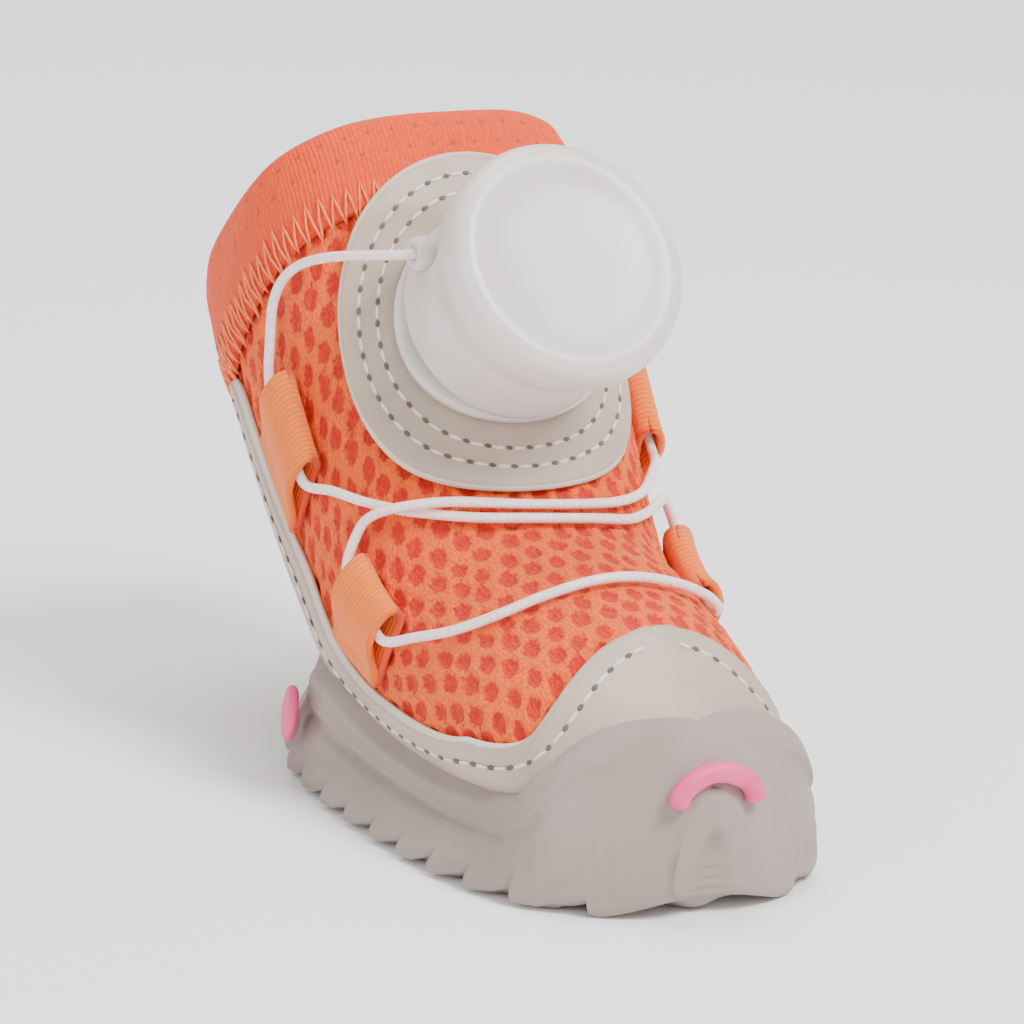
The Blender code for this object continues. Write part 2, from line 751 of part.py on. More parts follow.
def cylinder(name, radius, length, centre, direction, sides, collection, look=None):
    bpy.ops.mesh.primitive_cylinder_add(vertices=sides, radius=radius, depth=length)
    thing = bpy.context.active_object
    thing.name = name
    thing.data.name = name
    turn = Vector((0.0, 0.0, 1.0)).rotation_difference(Vector(direction))
    thing.matrix_world = Matrix.Translation(Vector(centre)) @ turn.to_matrix().to_4x4()
    for old in list(thing.users_collection):
        old.objects.unlink(thing)
    collection.objects.link(thing)
    if look:
        thing.data.materials.append(look)
    return thing


def as_cutter(thing):
    thing.hide_render = True
    thing.display_type = "WIRE"


def make_housing(look, collection, cutters):
    """Round housing whose foot follows the patch, with a lace port on each side."""
    seat, axis, up = dial_frame()
    side = np.array((1.0, 0.0, 0.0))
    seat_level = PATCH_THICKNESS + 2 * CLEARANCE
    rows = polar_rows(FOOT_RINGS, HOUSING_RADIUS, HOUSING_RADIUS, seat_level)
    rows += polar_rows((1.0,), HOUSING_RADIUS, HOUSING_RADIUS, seat_level + FOOT_EDGE)
    turns = [math.pi * step / PATCH_TURNS for step in range(PATCH_TURNS + 1)]
    for height_share, radius_share in HOUSING_PROFILE:
        height = HOUSING_HEIGHT * height_share
        radius = HOUSING_RADIUS * radius_share
        middle = seat + axis * height
        rows.append([middle + (side * abs(math.sin(t)) - up * math.cos(t)) * radius for t in turns])
    for row in rows:
        row[0][0] = 0.0
        row[-1][0] = 0.0
    cage = Cage()
    ids = cage.add_grid(rows)
    cage.cover(ids, outward=False)
    cage.cap(ids[0], outward=False)
    cage.cap(ids[-1], outward=True)
    housing = cage.to_object("dial_housing", look, collection)
    centre, reach = port_places()
    for label, sign in (("left", -1.0), ("right", 1.0)):
        outward = np.array((sign, 0.0, 0.0))
        boss = cylinder("port_boss_" + label, PORT_RADIUS, PORT_LENGTH * 2.4,
                        centre + outward * (reach - PORT_LENGTH * 1.2), outward, PORT_SIDES, cutters)
        bore = cylinder("port_bore_" + label, LACE_RADIUS + 2 * CLEARANCE, PORT_LENGTH * 2.4,
                        centre + outward * reach, outward, BORE_SIDES, cutters)
        for thing, operation in ((boss, "UNION"), (bore, "DIFFERENCE")):
            as_cutter(thing)
            join = housing.modifiers.new(operation.title() + label, "BOOLEAN")
            join.operation = operation
            join.object = thing
    return housing


# Outline of the knob: shares of its radius and of its height
KNOB_PROFILE = (
    (0.000, 0.930), (0.700, 0.930), (0.770, 0.965), (0.830, 1.000), (0.900, 1.000), (0.960, 0.965),
    (0.993, 0.900), (1.000, 0.820), (1.000, 0.600), (0.985, 0.500), (0.930, 0.400), (0.860, 0.300),
    (0.835, 0.060), (0.800, 0.000), (0.000, 0.000),
)
KNOB_SIDES = 24


def make_knob(look, collection):
    seat, axis = dial_frame()[:2]
    mesh = bpy.data.meshes.new("dial_knob")
    points = [(share * KNOB_RADIUS, 0.0, height * KNOB_HEIGHT) for share, height in KNOB_PROFILE]
    mesh.from_pydata(points, [(n, n + 1) for n in range(len(points) - 1)], [])
    knob = bpy.data.objects.new("dial_knob", mesh)
    collection.objects.link(knob)
    mesh.materials.append(look)
    turned = knob.modifiers.new("Screw", "SCREW")
    turned.steps = KNOB_SIDES
    turned.render_steps = KNOB_SIDES
    turned.use_merge_vertices = True
    turned.merge_threshold = 0.00001
    base = seat + axis * (HOUSING_HEIGHT + CLEARANCE)
    turn = Vector((0.0, 0.0, 1.0)).rotation_difference(Vector(axis))
    knob.matrix_world = Matrix.Translation(Vector(base)) @ turn.to_matrix().to_4x4()
    return knob


# Webbing loops

LOOP_SQUEEZE = 0.012
LOOP_INSET = 2.4
LOOP_RINGS = 3


def loop_ring(u, rear_v, front_v, low, high, squeeze):
    """Closed cross-section of a flattened tube at one place along the boot."""
    count = 5
    spread = [rear_v + (front_v - rear_v) * step / count for step in range(count + 1)]
    middle = 0.5 * (low + high)
    ring = [(spread[0] - squeeze, middle)]
    ring += [(v, high) for v in spread]
    ring += [(spread[-1] + squeeze, middle)]
    ring += [(v, low) for v in spread[::-1]]
    return [(u, v, height) for v, height in ring]


def make_loop(level, side, look, collection):
    start_u, end_u, rear_v, front_v = LOOPS[level][:4]
    low = CLEARANCE
    high = CLEARANCE + 2 * WEBBING_THICKNESS + LOOP_CHANNEL
    edge = LOOP_SQUEEZE
    cage = Cage()
    outer = []
    inner = []
    for u in np.linspace(start_u, end_u, LOOP_RINGS):
        outside = loop_ring(u, rear_v + edge, front_v - edge, low, high, edge)
        inside = loop_ring(u, rear_v + LOOP_INSET * edge, front_v - LOOP_INSET * edge,
                           low + WEBBING_THICKNESS, high - WEBBING_THICKNESS, edge)
        for target, ring in ((outer, outside), (inner, inside)):
            points = [skin(*place) * np.array((side, 1.0, 1.0)) for place in ring]
            target.append(points + points[:1])
    outward = side > 0
    outer_ids = cage.add_grid([row[:-1] for row in outer])
    inner_ids = cage.add_grid([row[:-1] for row in inner])
    outer_ids = [row + row[:1] for row in outer_ids]
    inner_ids = [row + row[:1] for row in inner_ids]
    cage.cover(outer_ids, outward=outward)
    cage.cover(inner_ids, outward=not outward)
    for end, flip in ((0, not outward), (-1, outward)):
        for c in range(len(outer_ids[end]) - 1):
            face = (outer_ids[end][c + 1], outer_ids[end][c], inner_ids[end][c], inner_ids[end][c + 1])
            cage.faces.append(face if flip else face[::-1])
    label = "left" if side < 0 else "right"
    return cage.to_object("loop_%s_%s" % (level, label), look, collection, mirror=False)


# Lace

def smooth_route(points, step):
    """Points every step along a Catmull-Rom curve through the route's own points."""
    points = [np.array(point) for point in points]
    padded = [2 * points[0] - points[1]] + points + [2 * points[-1] - points[-2]]
    fine = []
    for index in range(1, len(padded) - 2):
        a, b, c, d = padded[index - 1:index + 3]
        for t in np.linspace(0.0, 1.0, 12, endpoint=False):
            fine.append(0.5 * (2 * b + (c - a) * t + (2 * a - 5 * b + 4 * c - d) * t ** 2
                               + (3 * b - a - 3 * c + d) * t ** 3))
    fine.append(points[-1])
    fine = np.array(fine)
    lengths = np.concatenate(((0.0,), np.cumsum(np.linalg.norm(np.diff(fine, axis=0), axis=1))))
    count = max(int(round(lengths[-1] / step)), 2)
    places = np.linspace(0.0, lengths[-1], count + 1)
    return [tuple(np.interp(place, lengths, fine[:, axis]) for axis in range(3)) for place in places]


def tube(name, points, radius, look, collection):
    curve = bpy.data.curves.new(name, "CURVE")
    curve.dimensions = "3D"
    curve.bevel_depth = radius
    curve.bevel_resolution = 2
    curve.use_fill_caps = True
    spline = curve.splines.new("POLY")
    spline.points.add(len(points) - 1)
    for target, point in zip(spline.points, points):
        target.co = tuple(point) + (1.0,)
    thing = bpy.data.objects.new(name, curve)
    curve.materials.append(look)
    collection.objects.link(thing)
    return thing


def loop_run(level, side, downwards):
    """The lace's points inside one loop, on the left for side -1."""
    start_u, end_u, rear_v, front_v, start_v, end_v = LOOPS[level]
    height = CLEARANCE + WEBBING_THICKNESS + LOOP_CHANNEL * 0.5
    run = []
    for share in (-0.06, 0.33, 0.67, 1.06):
        v = start_v + (end_v - start_v) * share
        run.append((start_u + (end_u - start_u) * share, 2.0 - v if side < 0 else v, height))
    return run[::-1] if downwards else run


def lace_route():
    centre, reach = port_places()
    ends = [centre + np.array((sign * (reach - PORT_LENGTH * 0.6), 0.0, 0.0)) for sign in (-1.0, 1.0)]
    exits = [centre + np.array((sign * (reach + LACE_EXIT), 0.0, 0.0)) for sign in (-1.0, 1.0)]
    right_arc = tuple((u, 2.0 - v, height) for u, v, height in LACE_LEFT_ARC[::-1])
    places = list(LACE_LEFT_ARC)
    places += loop_run("upper", -1, True)
    places += list(LACE_UPPER_STRAND)
    places += loop_run("lower", 1, True)
    places += list(LACE_LOWER_STRAND)
    places += loop_run("lower", -1, False)
    places += list(LACE_CROSSING_STRAND)
    places += loop_run("upper", 1, False)
    places += list(right_arc)
    middle = [skin(u, v, height + LACE_RADIUS * 0.35) for u, v, height in places]
    return [ends[0], exits[0]] + middle + [exits[1], ends[1]]


def make_lace(look, collection):
    return tube("lace", smooth_route(lace_route(), LACE_STEP), LACE_RADIUS, look, collection)


# Pink marks on the rubber

def surface_tree(thing):
    return BVHTree.FromObject(thing, bpy.context.evaluated_depsgraph_get())


def make_toe_mark(tree, look, collection):
    """Plain raised crescent on the toe bumper."""
    centre_z = LAST_HEIGHT * MARK_HEIGHT
    points = []
    for step in range(MARK_STEPS + 1):
        angle = math.pi * step / MARK_STEPS
        x = MARK_ARC_RADIUS * math.cos(angle)
        z = centre_z + MARK_ARC_RADIUS * 0.75 * math.sin(angle)
        hit, normal = tree.ray_cast(Vector((x, -2 * SOLE_TOE_REACH, z)), Vector((0.0, 1.0, 0.0)))[:2]
        points.append(hit + normal * (MARK_RADIUS + CLEARANCE * 1.3))
    return tube("toe_mark", points, MARK_RADIUS, look, collection)


def make_disc(name, tree, start, direction, look, collection):
    """Plain disc on the rubber, square to the face around it and clear of its highest point."""
    direction = Vector(direction).normalized()
    across = direction.orthogonal().normalized() * DISC_RADIUS
    other = direction.cross(across)
    hits = []
    normals = []
    for step in range(DISC_SIDES):
        angle = 2.0 * math.pi * step / DISC_SIDES
        shift = across * math.cos(angle) + other * math.sin(angle)
        hit, normal = tree.ray_cast(Vector(start) + shift, direction)[:2]
        # Past the sole's edge there is nothing to hit
        if hit is not None:
            hits.append(hit)
            normals.append(normal)
    facing = sum(normals, Vector()).normalized()
    middle = sum(hits, Vector()) / len(hits)
    bulge = tree.ray_cast(Vector(start), direction)[0]
    lift = max((hit - middle).dot(facing) for hit in hits + [bulge])
    centre = middle + facing * (lift + 2 * CLEARANCE + DISC_THICKNESS * 0.5)
    disc = cylinder(name, DISC_RADIUS, DISC_THICKNESS, centre, facing, DISC_SIDES, collection, look)
    edge = disc.modifiers.new("Bevel", "BEVEL")
    edge.width = DISC_THICKNESS * 0.3
    edge.segments = 1
    edge.limit_method = "ANGLE"


def make_discs(tree, look, collection):
    side_y = PAD_REAR - SIDE_DISC_INSET
    side_z = LAST_HEIGHT * SIDE_DISC_HEIGHT
    far = 2 * SOLE_HALF_WIDTH
    make_disc("disc_left", tree, (-far, side_y, side_z), (1.0, 0.0, 0.0), look, collection)
    make_disc("disc_right", tree, (far, side_y, side_z), (-1.0, 0.0, 0.0), look, collection)
    back = skin(REAR_DISC_SHARE, 0.0, 0.0)
    away = last_normal(REAR_DISC_SHARE, 0.0) * far
    make_disc("disc_rear", tree, tuple(back + away), tuple(-away), look, collection)


def main():
    clear_scene()
    boot = bpy.data.collections.new("dog_boot")
    cutters = bpy.data.collections.new("cutters")
    for collection in (boot, cutters):
        bpy.context.scene.collection.children.link(collection)
    rubber = material("rubber", RUBBER_COLOUR, 0.62)
    coated = material("coated fabric", RAND_COLOUR, 0.55)
    mesh_cloth = material("air mesh", MESH_COLOUR, 0.85)
    stretch = material("stretch cloth", COLLAR_COLOUR, 0.80)
    webbing = material("webbing", WEBBING_COLOUR, 0.80)
    milky = material("milky plastic", DIAL_COLOUR, 0.30)
    cord = material("cord", LACE_COLOUR, 0.60)
    pink = material("pink rubber", PINK_COLOUR, 0.50)
    foam = material("footbed foam", INSOLE_COLOUR, 0.90)

    smooth = [make_upper(mesh_cloth, boot)]
    outsole = make_outsole(rubber, boot)
    make_insole(foam, boot)
    smooth.append(make_rand(coated, boot))
    smooth.append(make_collar(stretch, boot))
    smooth.append(make_patch(coated, boot))
    make_housing(milky, boot, cutters)
    smooth.append(make_knob(milky, boot))
    for level in LOOPS:
        for side in (-1, 1):
            make_loop(level, side, webbing, boot)
    make_lace(cord, boot)
    bpy.context.view_layer.update()
    tree = surface_tree(outsole)
    make_toe_mark(tree, pink, boot)
    make_discs(tree, pink, boot)
    for thing in smooth:
        shade(thing)


main()
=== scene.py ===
"""Dog boot with a lace dial: the cloth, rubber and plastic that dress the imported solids.

The boot stands on the floor, toe towards -Y, symmetric about x = 0. Lengths are in metres. Most pieces
are grids laid over the shape of the last, by a share along the boot and a share around it.
"""
import math

import bpy
import numpy as np
from mathutils import Matrix, Vector


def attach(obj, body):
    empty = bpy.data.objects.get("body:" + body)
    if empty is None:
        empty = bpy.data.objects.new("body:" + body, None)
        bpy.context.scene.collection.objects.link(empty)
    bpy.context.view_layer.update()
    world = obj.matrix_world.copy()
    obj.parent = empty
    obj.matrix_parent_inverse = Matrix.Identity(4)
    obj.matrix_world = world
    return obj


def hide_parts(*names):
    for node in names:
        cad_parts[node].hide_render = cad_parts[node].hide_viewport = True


MM = 0.001

# Sizes of the last and the layers on it, as in the solids
LAST_LENGTH = 0.0845
LAST_HEIGHT = 0.0643
BALL_HALF_WIDTH = 0.0178
CLEARANCE = 0.0003
UPPER_WALL = 0.0016
COLLAR_START = 0.905
OPENING_START = 0.205
OPENING_END = 0.620
OPENING_WIDTH = 0.200
OPENING_ROUNDNESS = 0.4
MERGE_DISTANCE = 0.00002

# Sections of the last: y of the length, z of the height, half width, widest place, powers of the curve
SECTIONS = np.array((
    (-0.237, 0.149, -0.228, 0.177, 0.170, 0.45, 2.2, 2.00),
    (-0.228, 0.133, -0.214, 0.210, 0.360, 0.42, 2.6, 2.00),
    (-0.206, 0.123, -0.191, 0.250, 0.520, 0.40, 3.0, 2.00),
    (-0.169, 0.115, -0.158, 0.296, 0.660, 0.38, 3.2, 1.90),
    (-0.126, 0.110, -0.126, 0.350, 0.770, 0.36, 3.3, 1.85),
    (-0.070, 0.109, -0.090, 0.393, 0.870, 0.35, 3.3, 1.80),
    (0.013, 0.109, -0.012, 0.420, 0.965, 0.35, 3.3, 1.85),
    (0.113, 0.109, 0.075, 0.444, 1.000, 0.36, 3.2, 1.90),
    (0.200, 0.109, 0.158, 0.475, 1.000, 0.38, 3.0, 2.10),
    (0.288, 0.115, 0.220, 0.549, 1.025, 0.42, 2.8, 2.30),
    (0.373, 0.161, 0.274, 0.642, 1.045, 0.46, 2.5, 2.50),
    (0.464, 0.239, 0.333, 0.744, 1.060, 0.48, 2.3, 2.70),
    (0.570, 0.346, 0.388, 0.840, 1.060, 0.50, 2.2, 2.80),
    (0.664, 0.459, 0.439, 0.925, 1.030, 0.50, 2.2, 3.00),
    (0.744, 0.567, 0.481, 1.000, 0.985, 0.50, 2.2, 3.00),
))
SECTIONS[:, (0, 2)] *= LAST_LENGTH
SECTIONS[:, (1, 3)] *= LAST_HEIGHT
SECTIONS[:, 4] *= BALL_HALF_WIDTH

# Edges of the rand: share along and around at the lower edge and at the topline
RAND_ROWS = np.array((
    (0.000, 0.000, 0.000, 1.000), (0.060, 0.000, 0.075, 1.000), (0.120, 0.000, 0.150, 1.000),
    (0.175, 0.000, 0.225, 1.000), (0.215, 0.080, 0.290, 1.000), (0.232, 0.112, 0.345, 1.000),
    (0.243, 0.125, 0.343, 0.930), (0.254, 0.135, 0.334, 0.855), (0.265, 0.144, 0.316, 0.775),
    (0.276, 0.152, 0.300, 0.705), (0.290, 0.162, 0.296, 0.632), (0.318, 0.180, 0.312, 0.573),
    (0.366, 0.195, 0.355, 0.525), (0.410, 0.200, 0.405, 0.497), (0.460, 0.200, 0.460, 0.474),
    (0.520, 0.200, 0.520, 0.463), (0.580, 0.200, 0.580, 0.455), (0.635, 0.205, 0.630, 0.462),
    (0.675, 0.245, 0.675, 0.470), (0.710, 0.262, 0.710, 0.470), (0.750, 0.252, 0.755, 0.455),
    (0.800, 0.245, 0.805, 0.440), (0.850, 0.222, 0.850, 0.430), (0.882, 0.200, 0.880, 0.420),
    (0.899, 0.205, 0.897, 0.400),
))
RAND_BEND = 6.0
RAND_HEIGHT = 0.0012
RAND_ROW_COUNT = 170
# Rows of the table up to here have their topline on the middle plane
RAND_TOE_ROWS = 5.0
# Row, of the even ones, where the topline crosses the middle of the boot
APEX_ROW = 35

# Upper edge of the rubber: share along, share around
RIM_EDGE = np.array((
    (0.000, 1.000), (0.150, 1.000), (0.185, 0.800), (0.230, 0.560), (0.290, 0.430), (0.360, 0.370),
    (0.450, 0.345), (0.550, 0.355), (0.620, 0.385), (0.655, 0.345), (0.690, 0.262), (0.730, 0.205),
    (0.800, 0.175), (0.870, 0.160), (0.895, 0.140),
))

# Rubber sole
OVER_RAND = 0.0015
RIM_THICKNESS = 0.0016
STRAP_THICKNESS = 0.0022
SOLE_HALF_WIDTH = 0.0206
SOLE_TOE_REACH = 0.0242
PAD_FRONT = -0.0203
PAD_REAR = 0.0278
LUG_COUNT = 9
LUG_STEP = 0.0013
LUG_WAVE = 0.0042
TOOTH_DEPTH = 0.0011
TOE_SPRING = 0.0026
RIM_BOW = 0.0050
BALL_Y = 0.012
TOE_ROUNDNESS = 3.4
BELOW_RIM = 0.80
RIM_SWELL = 0.6
TOE_SWELL = 1.0
SIDE_BULGE = (0.0016, 0.0, 0.0030)
# The rim's inner edge lies on the rand, and its outer edge is rounded down by this much
RIM_SEAT = 0.0009
RIM_DROP = 0.0009
# Share of the side up which the teeth fade out
TOOTH_SHARE = 0.42
HEEL_START = 0.690
HEEL_STEP = 0.045
# Clearances under the rubber over the toe, and how many fewer there are behind it
TOE_CLEARANCES = 2.4
TOE_CLEARANCE_DROP = 1.4
# The tread's rows ahead of this y are spread along the last's toe
TOE_STRETCH_START = -0.006
LEAST_HALF_WIDTH = 0.0042
STRAP_START = 0.750
STRAP_END = 0.895

# Dial and patch
DIAL_SHARE = 0.769
PATCH_HALF_WIDTH = 0.0170
PATCH_HALF_HEIGHT = 0.0185
PATCH_THICKNESS = 0.0009
COLLAR_THICKNESS = 0.0008
HOUSING_RADIUS = 0.0112
HOUSING_HEIGHT = 0.0083
PORT_HEIGHT = 0.0058
PORT_OFFSET_UP = 0.0058
PORT_LENGTH = 0.0022

# Webbing loops: start, end along; rear, front around; lace at the start and at the end
LOOPS = {
    "lower": (0.535, 0.625, 0.485, 0.645, 0.585, 0.597),
    "upper": (0.735, 0.815, 0.480, 0.605, 0.566, 0.552),
}
WEBBING_THICKNESS = 0.0007
LOOP_CHANNEL = 0.0018

# The lace's way between the loops: share along, share around, height
LACE_RADIUS = 0.00052
LACE_EXIT = 0.0020
LACE_LEFT_ARC = (
    (0.858, 1.235, 0.0050), (0.874, 1.310, 0.0030), (0.872, 1.375, 0.0020), (0.850, 1.415, 0.0018),
)
LACE_UPPER_STRAND = (
    (0.700, 1.380, 0.0014), (0.664, 1.318, 0.0009), (0.622, 1.237, 0.0009), (0.582, 1.140, 0.0009),
    (0.554, 1.040, 0.0009), (0.548, 0.930, 0.0009), (0.564, 0.840, 0.0009), (0.594, 0.770, 0.0009),
    (0.626, 0.705, 0.0010), (0.645, 0.660, 0.0015),
)
LACE_LOWER_STRAND = (
    (0.500, 0.630, 0.0014), (0.470, 0.690, 0.0009), (0.447, 0.765, 0.0009), (0.436, 0.850, 0.0009),
    (0.432, 0.950, 0.0009), (0.432, 1.050, 0.0009), (0.436, 1.150, 0.0009), (0.447, 1.235, 0.0009),
    (0.470, 1.310, 0.0009), (0.500, 1.370, 0.0014),
)
LACE_CROSSING_STRAND = (
    (0.646, 1.345, 0.0017), (0.641, 1.300, 0.0022), (0.624, 1.240, 0.0026), (0.604, 1.160, 0.0018),
    (0.578, 1.045, 0.0010), (0.572, 0.935, 0.0010), (0.590, 0.845, 0.0009), (0.621, 0.765, 0.0009),
    (0.666, 0.685, 0.0009), (0.702, 0.622, 0.0014),
)


# The last

def ease(low, high, value):
    share = np.clip((value - low) / (high - low), 0.0, 1.0)
    return share * share * (3.0 - 2.0 * share)


def curve_between(before, start, end, after, t):
    """Points at shares t of a Catmull-Rom curve from start to end."""
    return 0.5 * (2 * start + (end - before) * t + (2 * before - 5 * start + 4 * end - after) * t ** 2
                  + (3 * start - before - 3 * end + after) * t ** 3)


def sections_at(u):
    """Section values at shares along the boot, by a Catmull-Rom curve through the table's rows."""
    last = len(SECTIONS) - 1
    place = np.clip(u, 0.0, 1.0) * last
    row = np.minimum(place.astype(int), last - 1)
    before = SECTIONS[np.maximum(row - 1, 0)]
    after = SECTIONS[np.minimum(row + 2, last)]
    return curve_between(before, SECTIONS[row], SECTIONS[row + 1], after, (place - row)[..., None])


def last_points(u, v):
    """Points on the outer face: v is 0 at the bottom, 0.5 right, 1 on top, 1.5 left, 2 at the bottom."""
    v = np.mod(v + 2.0, 2.0)
    side = np.where(v > 1.0, -1.0, 1.0)
    v = np.where(v > 1.0, 2.0 - v, v)
    bottom_y, bottom_z, top_y, top_z, half_width, widest, low_power, top_power = np.moveaxis(
        sections_at(u), -1, 0)
    across = np.maximum(np.sin(math.pi * v), 0.0)
    along = np.cos(math.pi * v)
    power = np.where(along >= 0.0, low_power, top_power)
    curve = np.abs(along) ** (2.0 / power)
    share = np.where(along >= 0.0, widest * (1.0 - curve), widest + (1.0 - widest) * curve)
    return np.stack((side * half_width * across ** (2.0 / power), bottom_y + (top_y - bottom_y) * share,
                     bottom_z + (top_z - bottom_z) * share), axis=-1)


def last_normals(u, v):
    small = 0.004
    along = last_points(np.minimum(u + small, 1.0), v) - last_points(np.maximum(u - small, 0.0), v)
    around = last_points(u, v + small) - last_points(u, v - small)
    normal = np.cross(along, around)
    return normal / np.linalg.norm(normal, axis=-1, keepdims=True)


def skin(u, v, height):
    """Points at a height over the outer face of the upper; all three may be arrays."""
    u, v, height = np.broadcast_arrays(np.asarray(u, float), np.asarray(v, float), np.asarray(height, float))
    return last_points(u, v) + last_normals(u, v) * height[..., None]


def opening_edge(u):
    share = np.clip((u - OPENING_START) / (OPENING_END - OPENING_START), 0.0, 1.0)
    return OPENING_WIDTH * np.sin(math.pi * share) ** OPENING_ROUNDNESS


def lengths_along(points):
    steps = np.linalg.norm(np.diff(points, axis=0), axis=-1)
    return np.concatenate((np.zeros((1,) + steps.shape[1:]), np.cumsum(steps, axis=0)))


TOP_SHARES = np.linspace(0.0, 1.0, 401)
TOP_LENGTHS = lengths_along(last_points(TOP_SHARES, np.ones_like(TOP_SHARES)))


def share_at_distance(distance):
    start = np.interp(DIAL_SHARE, TOP_SHARES, TOP_LENGTHS)
    return np.interp(start + distance, TOP_LENGTHS, TOP_SHARES)


def turn_at_distance(u, distance):
    """Share around the boot at a distance sideways from the top line, right of it."""
    turns = np.linspace(1.0, 0.45, 60)
    lengths = lengths_along(last_points(np.full(turns.shape, float(u)), turns))
    return float(np.interp(distance, lengths, turns))


def smooth_noise(a, b, seed):
    """Slow waves over two lengths, between -1 and 1, the same on each run."""
    total = 0.0
    for step in range(1, 4):
        turn = seed * 0.9 * step
        total = total + np.sin(a * 0.37 * step + seed * 1.7 + step) * np.cos(b * 0.29 * step + turn)
    return total / 3.0


# Mesh helpers

def only(piece):
    bpy.ops.object.select_all(action="DESELECT")
    piece.select_set(True)
    bpy.context.view_layer.objects.active = piece


def named(piece, name):
    piece.name = name
    piece.data.name = name
    return piece


def modify(piece, kind, **settings):
    only(piece)
    bpy.ops.object.modifier_add(type=kind)
    modifier = piece.modifiers[-1]
    for key, value in settings.items():
        setattr(modifier, key, value)
    bpy.ops.object.modifier_apply(modifier=modifier.name)


def merge_doubles(piece, distance=MERGE_DISTANCE):
    only(piece)
    bpy.ops.object.mode_set(mode="EDIT")
    bpy.ops.mesh.select_all(action="SELECT")
    bpy.ops.mesh.remove_doubles(threshold=distance)
    bpy.ops.object.mode_set(mode="OBJECT")


def face_outwards(piece):
    only(piece)
    bpy.ops.object.mode_set(mode="EDIT")
    bpy.ops.mesh.select_all(action="SELECT")
    bpy.ops.mesh.normals_make_consistent(inside=False)
    bpy.ops.object.mode_set(mode="OBJECT")


def turned_towards(piece, direction):
    """Turns an open piece over if its faces look away from the direction on the whole."""
    piece.data.update()
    facing = sum((Vector(face.normal) * face.area for face in piece.data.polygons), Vector())
    if facing.dot(Vector(direction)) < 0.0:
        piece.data.flip_normals()


def laid_grid(name, points, uv=None, fields=None):
    """A flat grid shaped onto rows of points. uv is in millimetres; fields are named numbers per point."""
    rows, columns = points.shape[:2]
    bpy.ops.object.select_all(action="DESELECT")
    bpy.ops.mesh.primitive_grid_add(x_subdivisions=columns - 1, y_subdivisions=rows - 1, size=1.0)
    piece = named(bpy.context.active_object, name)
    mesh = piece.data
    mesh.vertices.foreach_set("co", points.reshape(-1))
    if uv is not None:
        corners = np.zeros(len(mesh.loops), dtype=np.int32)
        mesh.loops.foreach_get("vertex_index", corners)
        mesh.uv_layers[0].data.foreach_set("uv", uv.reshape(-1, 2)[corners].reshape(-1))
    for title, values in (fields or {}).items():
        field = mesh.attributes.new(title, "FLOAT", "POINT")
        field.data.foreach_set("value", np.ascontiguousarray(values, dtype=np.float32).reshape(-1))
    mesh.update()
    return piece


def millimetre_uv(points, top_column):
    """Lengths along the top line and around from it, in millimetres."""
    along = lengths_along(points[:, top_column]) / MM
    around = lengths_along(np.swapaxes(points, 0, 1)) / MM
    around = np.swapaxes(around, 0, 1)
    around = around - around[:, top_column:top_column + 1]
    return np.stack(np.broadcast_arrays(along[:, None], around), axis=-1).copy()


def wall(piece, thickness):
    """Thickens a sheet inwards."""
    modify(piece, "SOLIDIFY", thickness=thickness, offset=-1.0, use_quality_normals=True)


def finish_piece(piece, look, nodes=(), angle=None):
    """Gives a piece its finish and body, and smooth faces, or only those that meet under the angle."""
    piece.data.materials.clear()
    piece.data.materials.append(look)
    only(piece)
    if angle is None:
        bpy.ops.object.shade_smooth()
    else:
        bpy.ops.object.shade_smooth_by_angle(angle=math.radians(angle))
    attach(piece, "root")
    if nodes:
        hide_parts(*nodes)
    return piece


def joined(pieces, name):
    bpy.ops.object.select_all(action="DESELECT")
    for piece in pieces:
        piece.select_set(True)
    bpy.context.view_layer.objects.active = pieces[0]
    if len(pieces) > 1:
        bpy.ops.object.join()
    return named(pieces[0], name)


def even_points(points, step):
    """Points every step along a line through the given points."""
    lengths = lengths_along(points)
    count = max(int(round(lengths[-1] / step)), 2)
    places = np.linspace(0.0, lengths[-1], count + 1)
    return np.stack([np.interp(places, lengths, points[:, axis]) for axis in range(3)], axis=-1)


def smooth_route(points, step):
    """Even points along a Catmull-Rom curve through the route's own points."""
    points = np.array(points)
    padded = np.vstack((2 * points[0] - points[1], points, 2 * points[-1] - points[-2]))
    t = np.linspace(0.0, 1.0, 16, endpoint=False)[:, None]
    fine = []
    for index in range(1, len(padded) - 2):
        fine.append(curve_between(*padded[index - 1:index + 3], t))
    fine = np.vstack(fine + [points[-1:]])
    return even_points(fine, step)


def thread(name, points, radius, sides=2, closed=False):
    """A round thread along points, as a mesh."""
    curve = bpy.data.curves.new(name, "CURVE")
    curve.dimensions = "3D"
    curve.bevel_depth = radius
    curve.bevel_resolution = sides
    curve.use_fill_caps = not closed
    spline = curve.splines.new("POLY")
    spline.points.add(len(points) - 1)
    spline.points.foreach_set("co", np.hstack((points, np.ones((len(points), 1)))).reshape(-1))
    spline.use_cyclic_u = closed
    made = bpy.data.objects.new(name, curve)
    bpy.context.scene.collection.objects.link(made)
    only(made)
    bpy.ops.object.convert(target="MESH")
    return named(bpy.context.active_object, name)


def bead(rings, length, width, height):
    """A plump dash along X, its middle at the origin."""
    bpy.ops.object.select_all(action="DESELECT")
    bpy.ops.mesh.primitive_uv_sphere_add(segments=8, ring_count=rings, radius=0.5)
    made = bpy.context.active_object
    made.data.transform(Matrix.Diagonal((length, width, height, 1.0)))
    return made


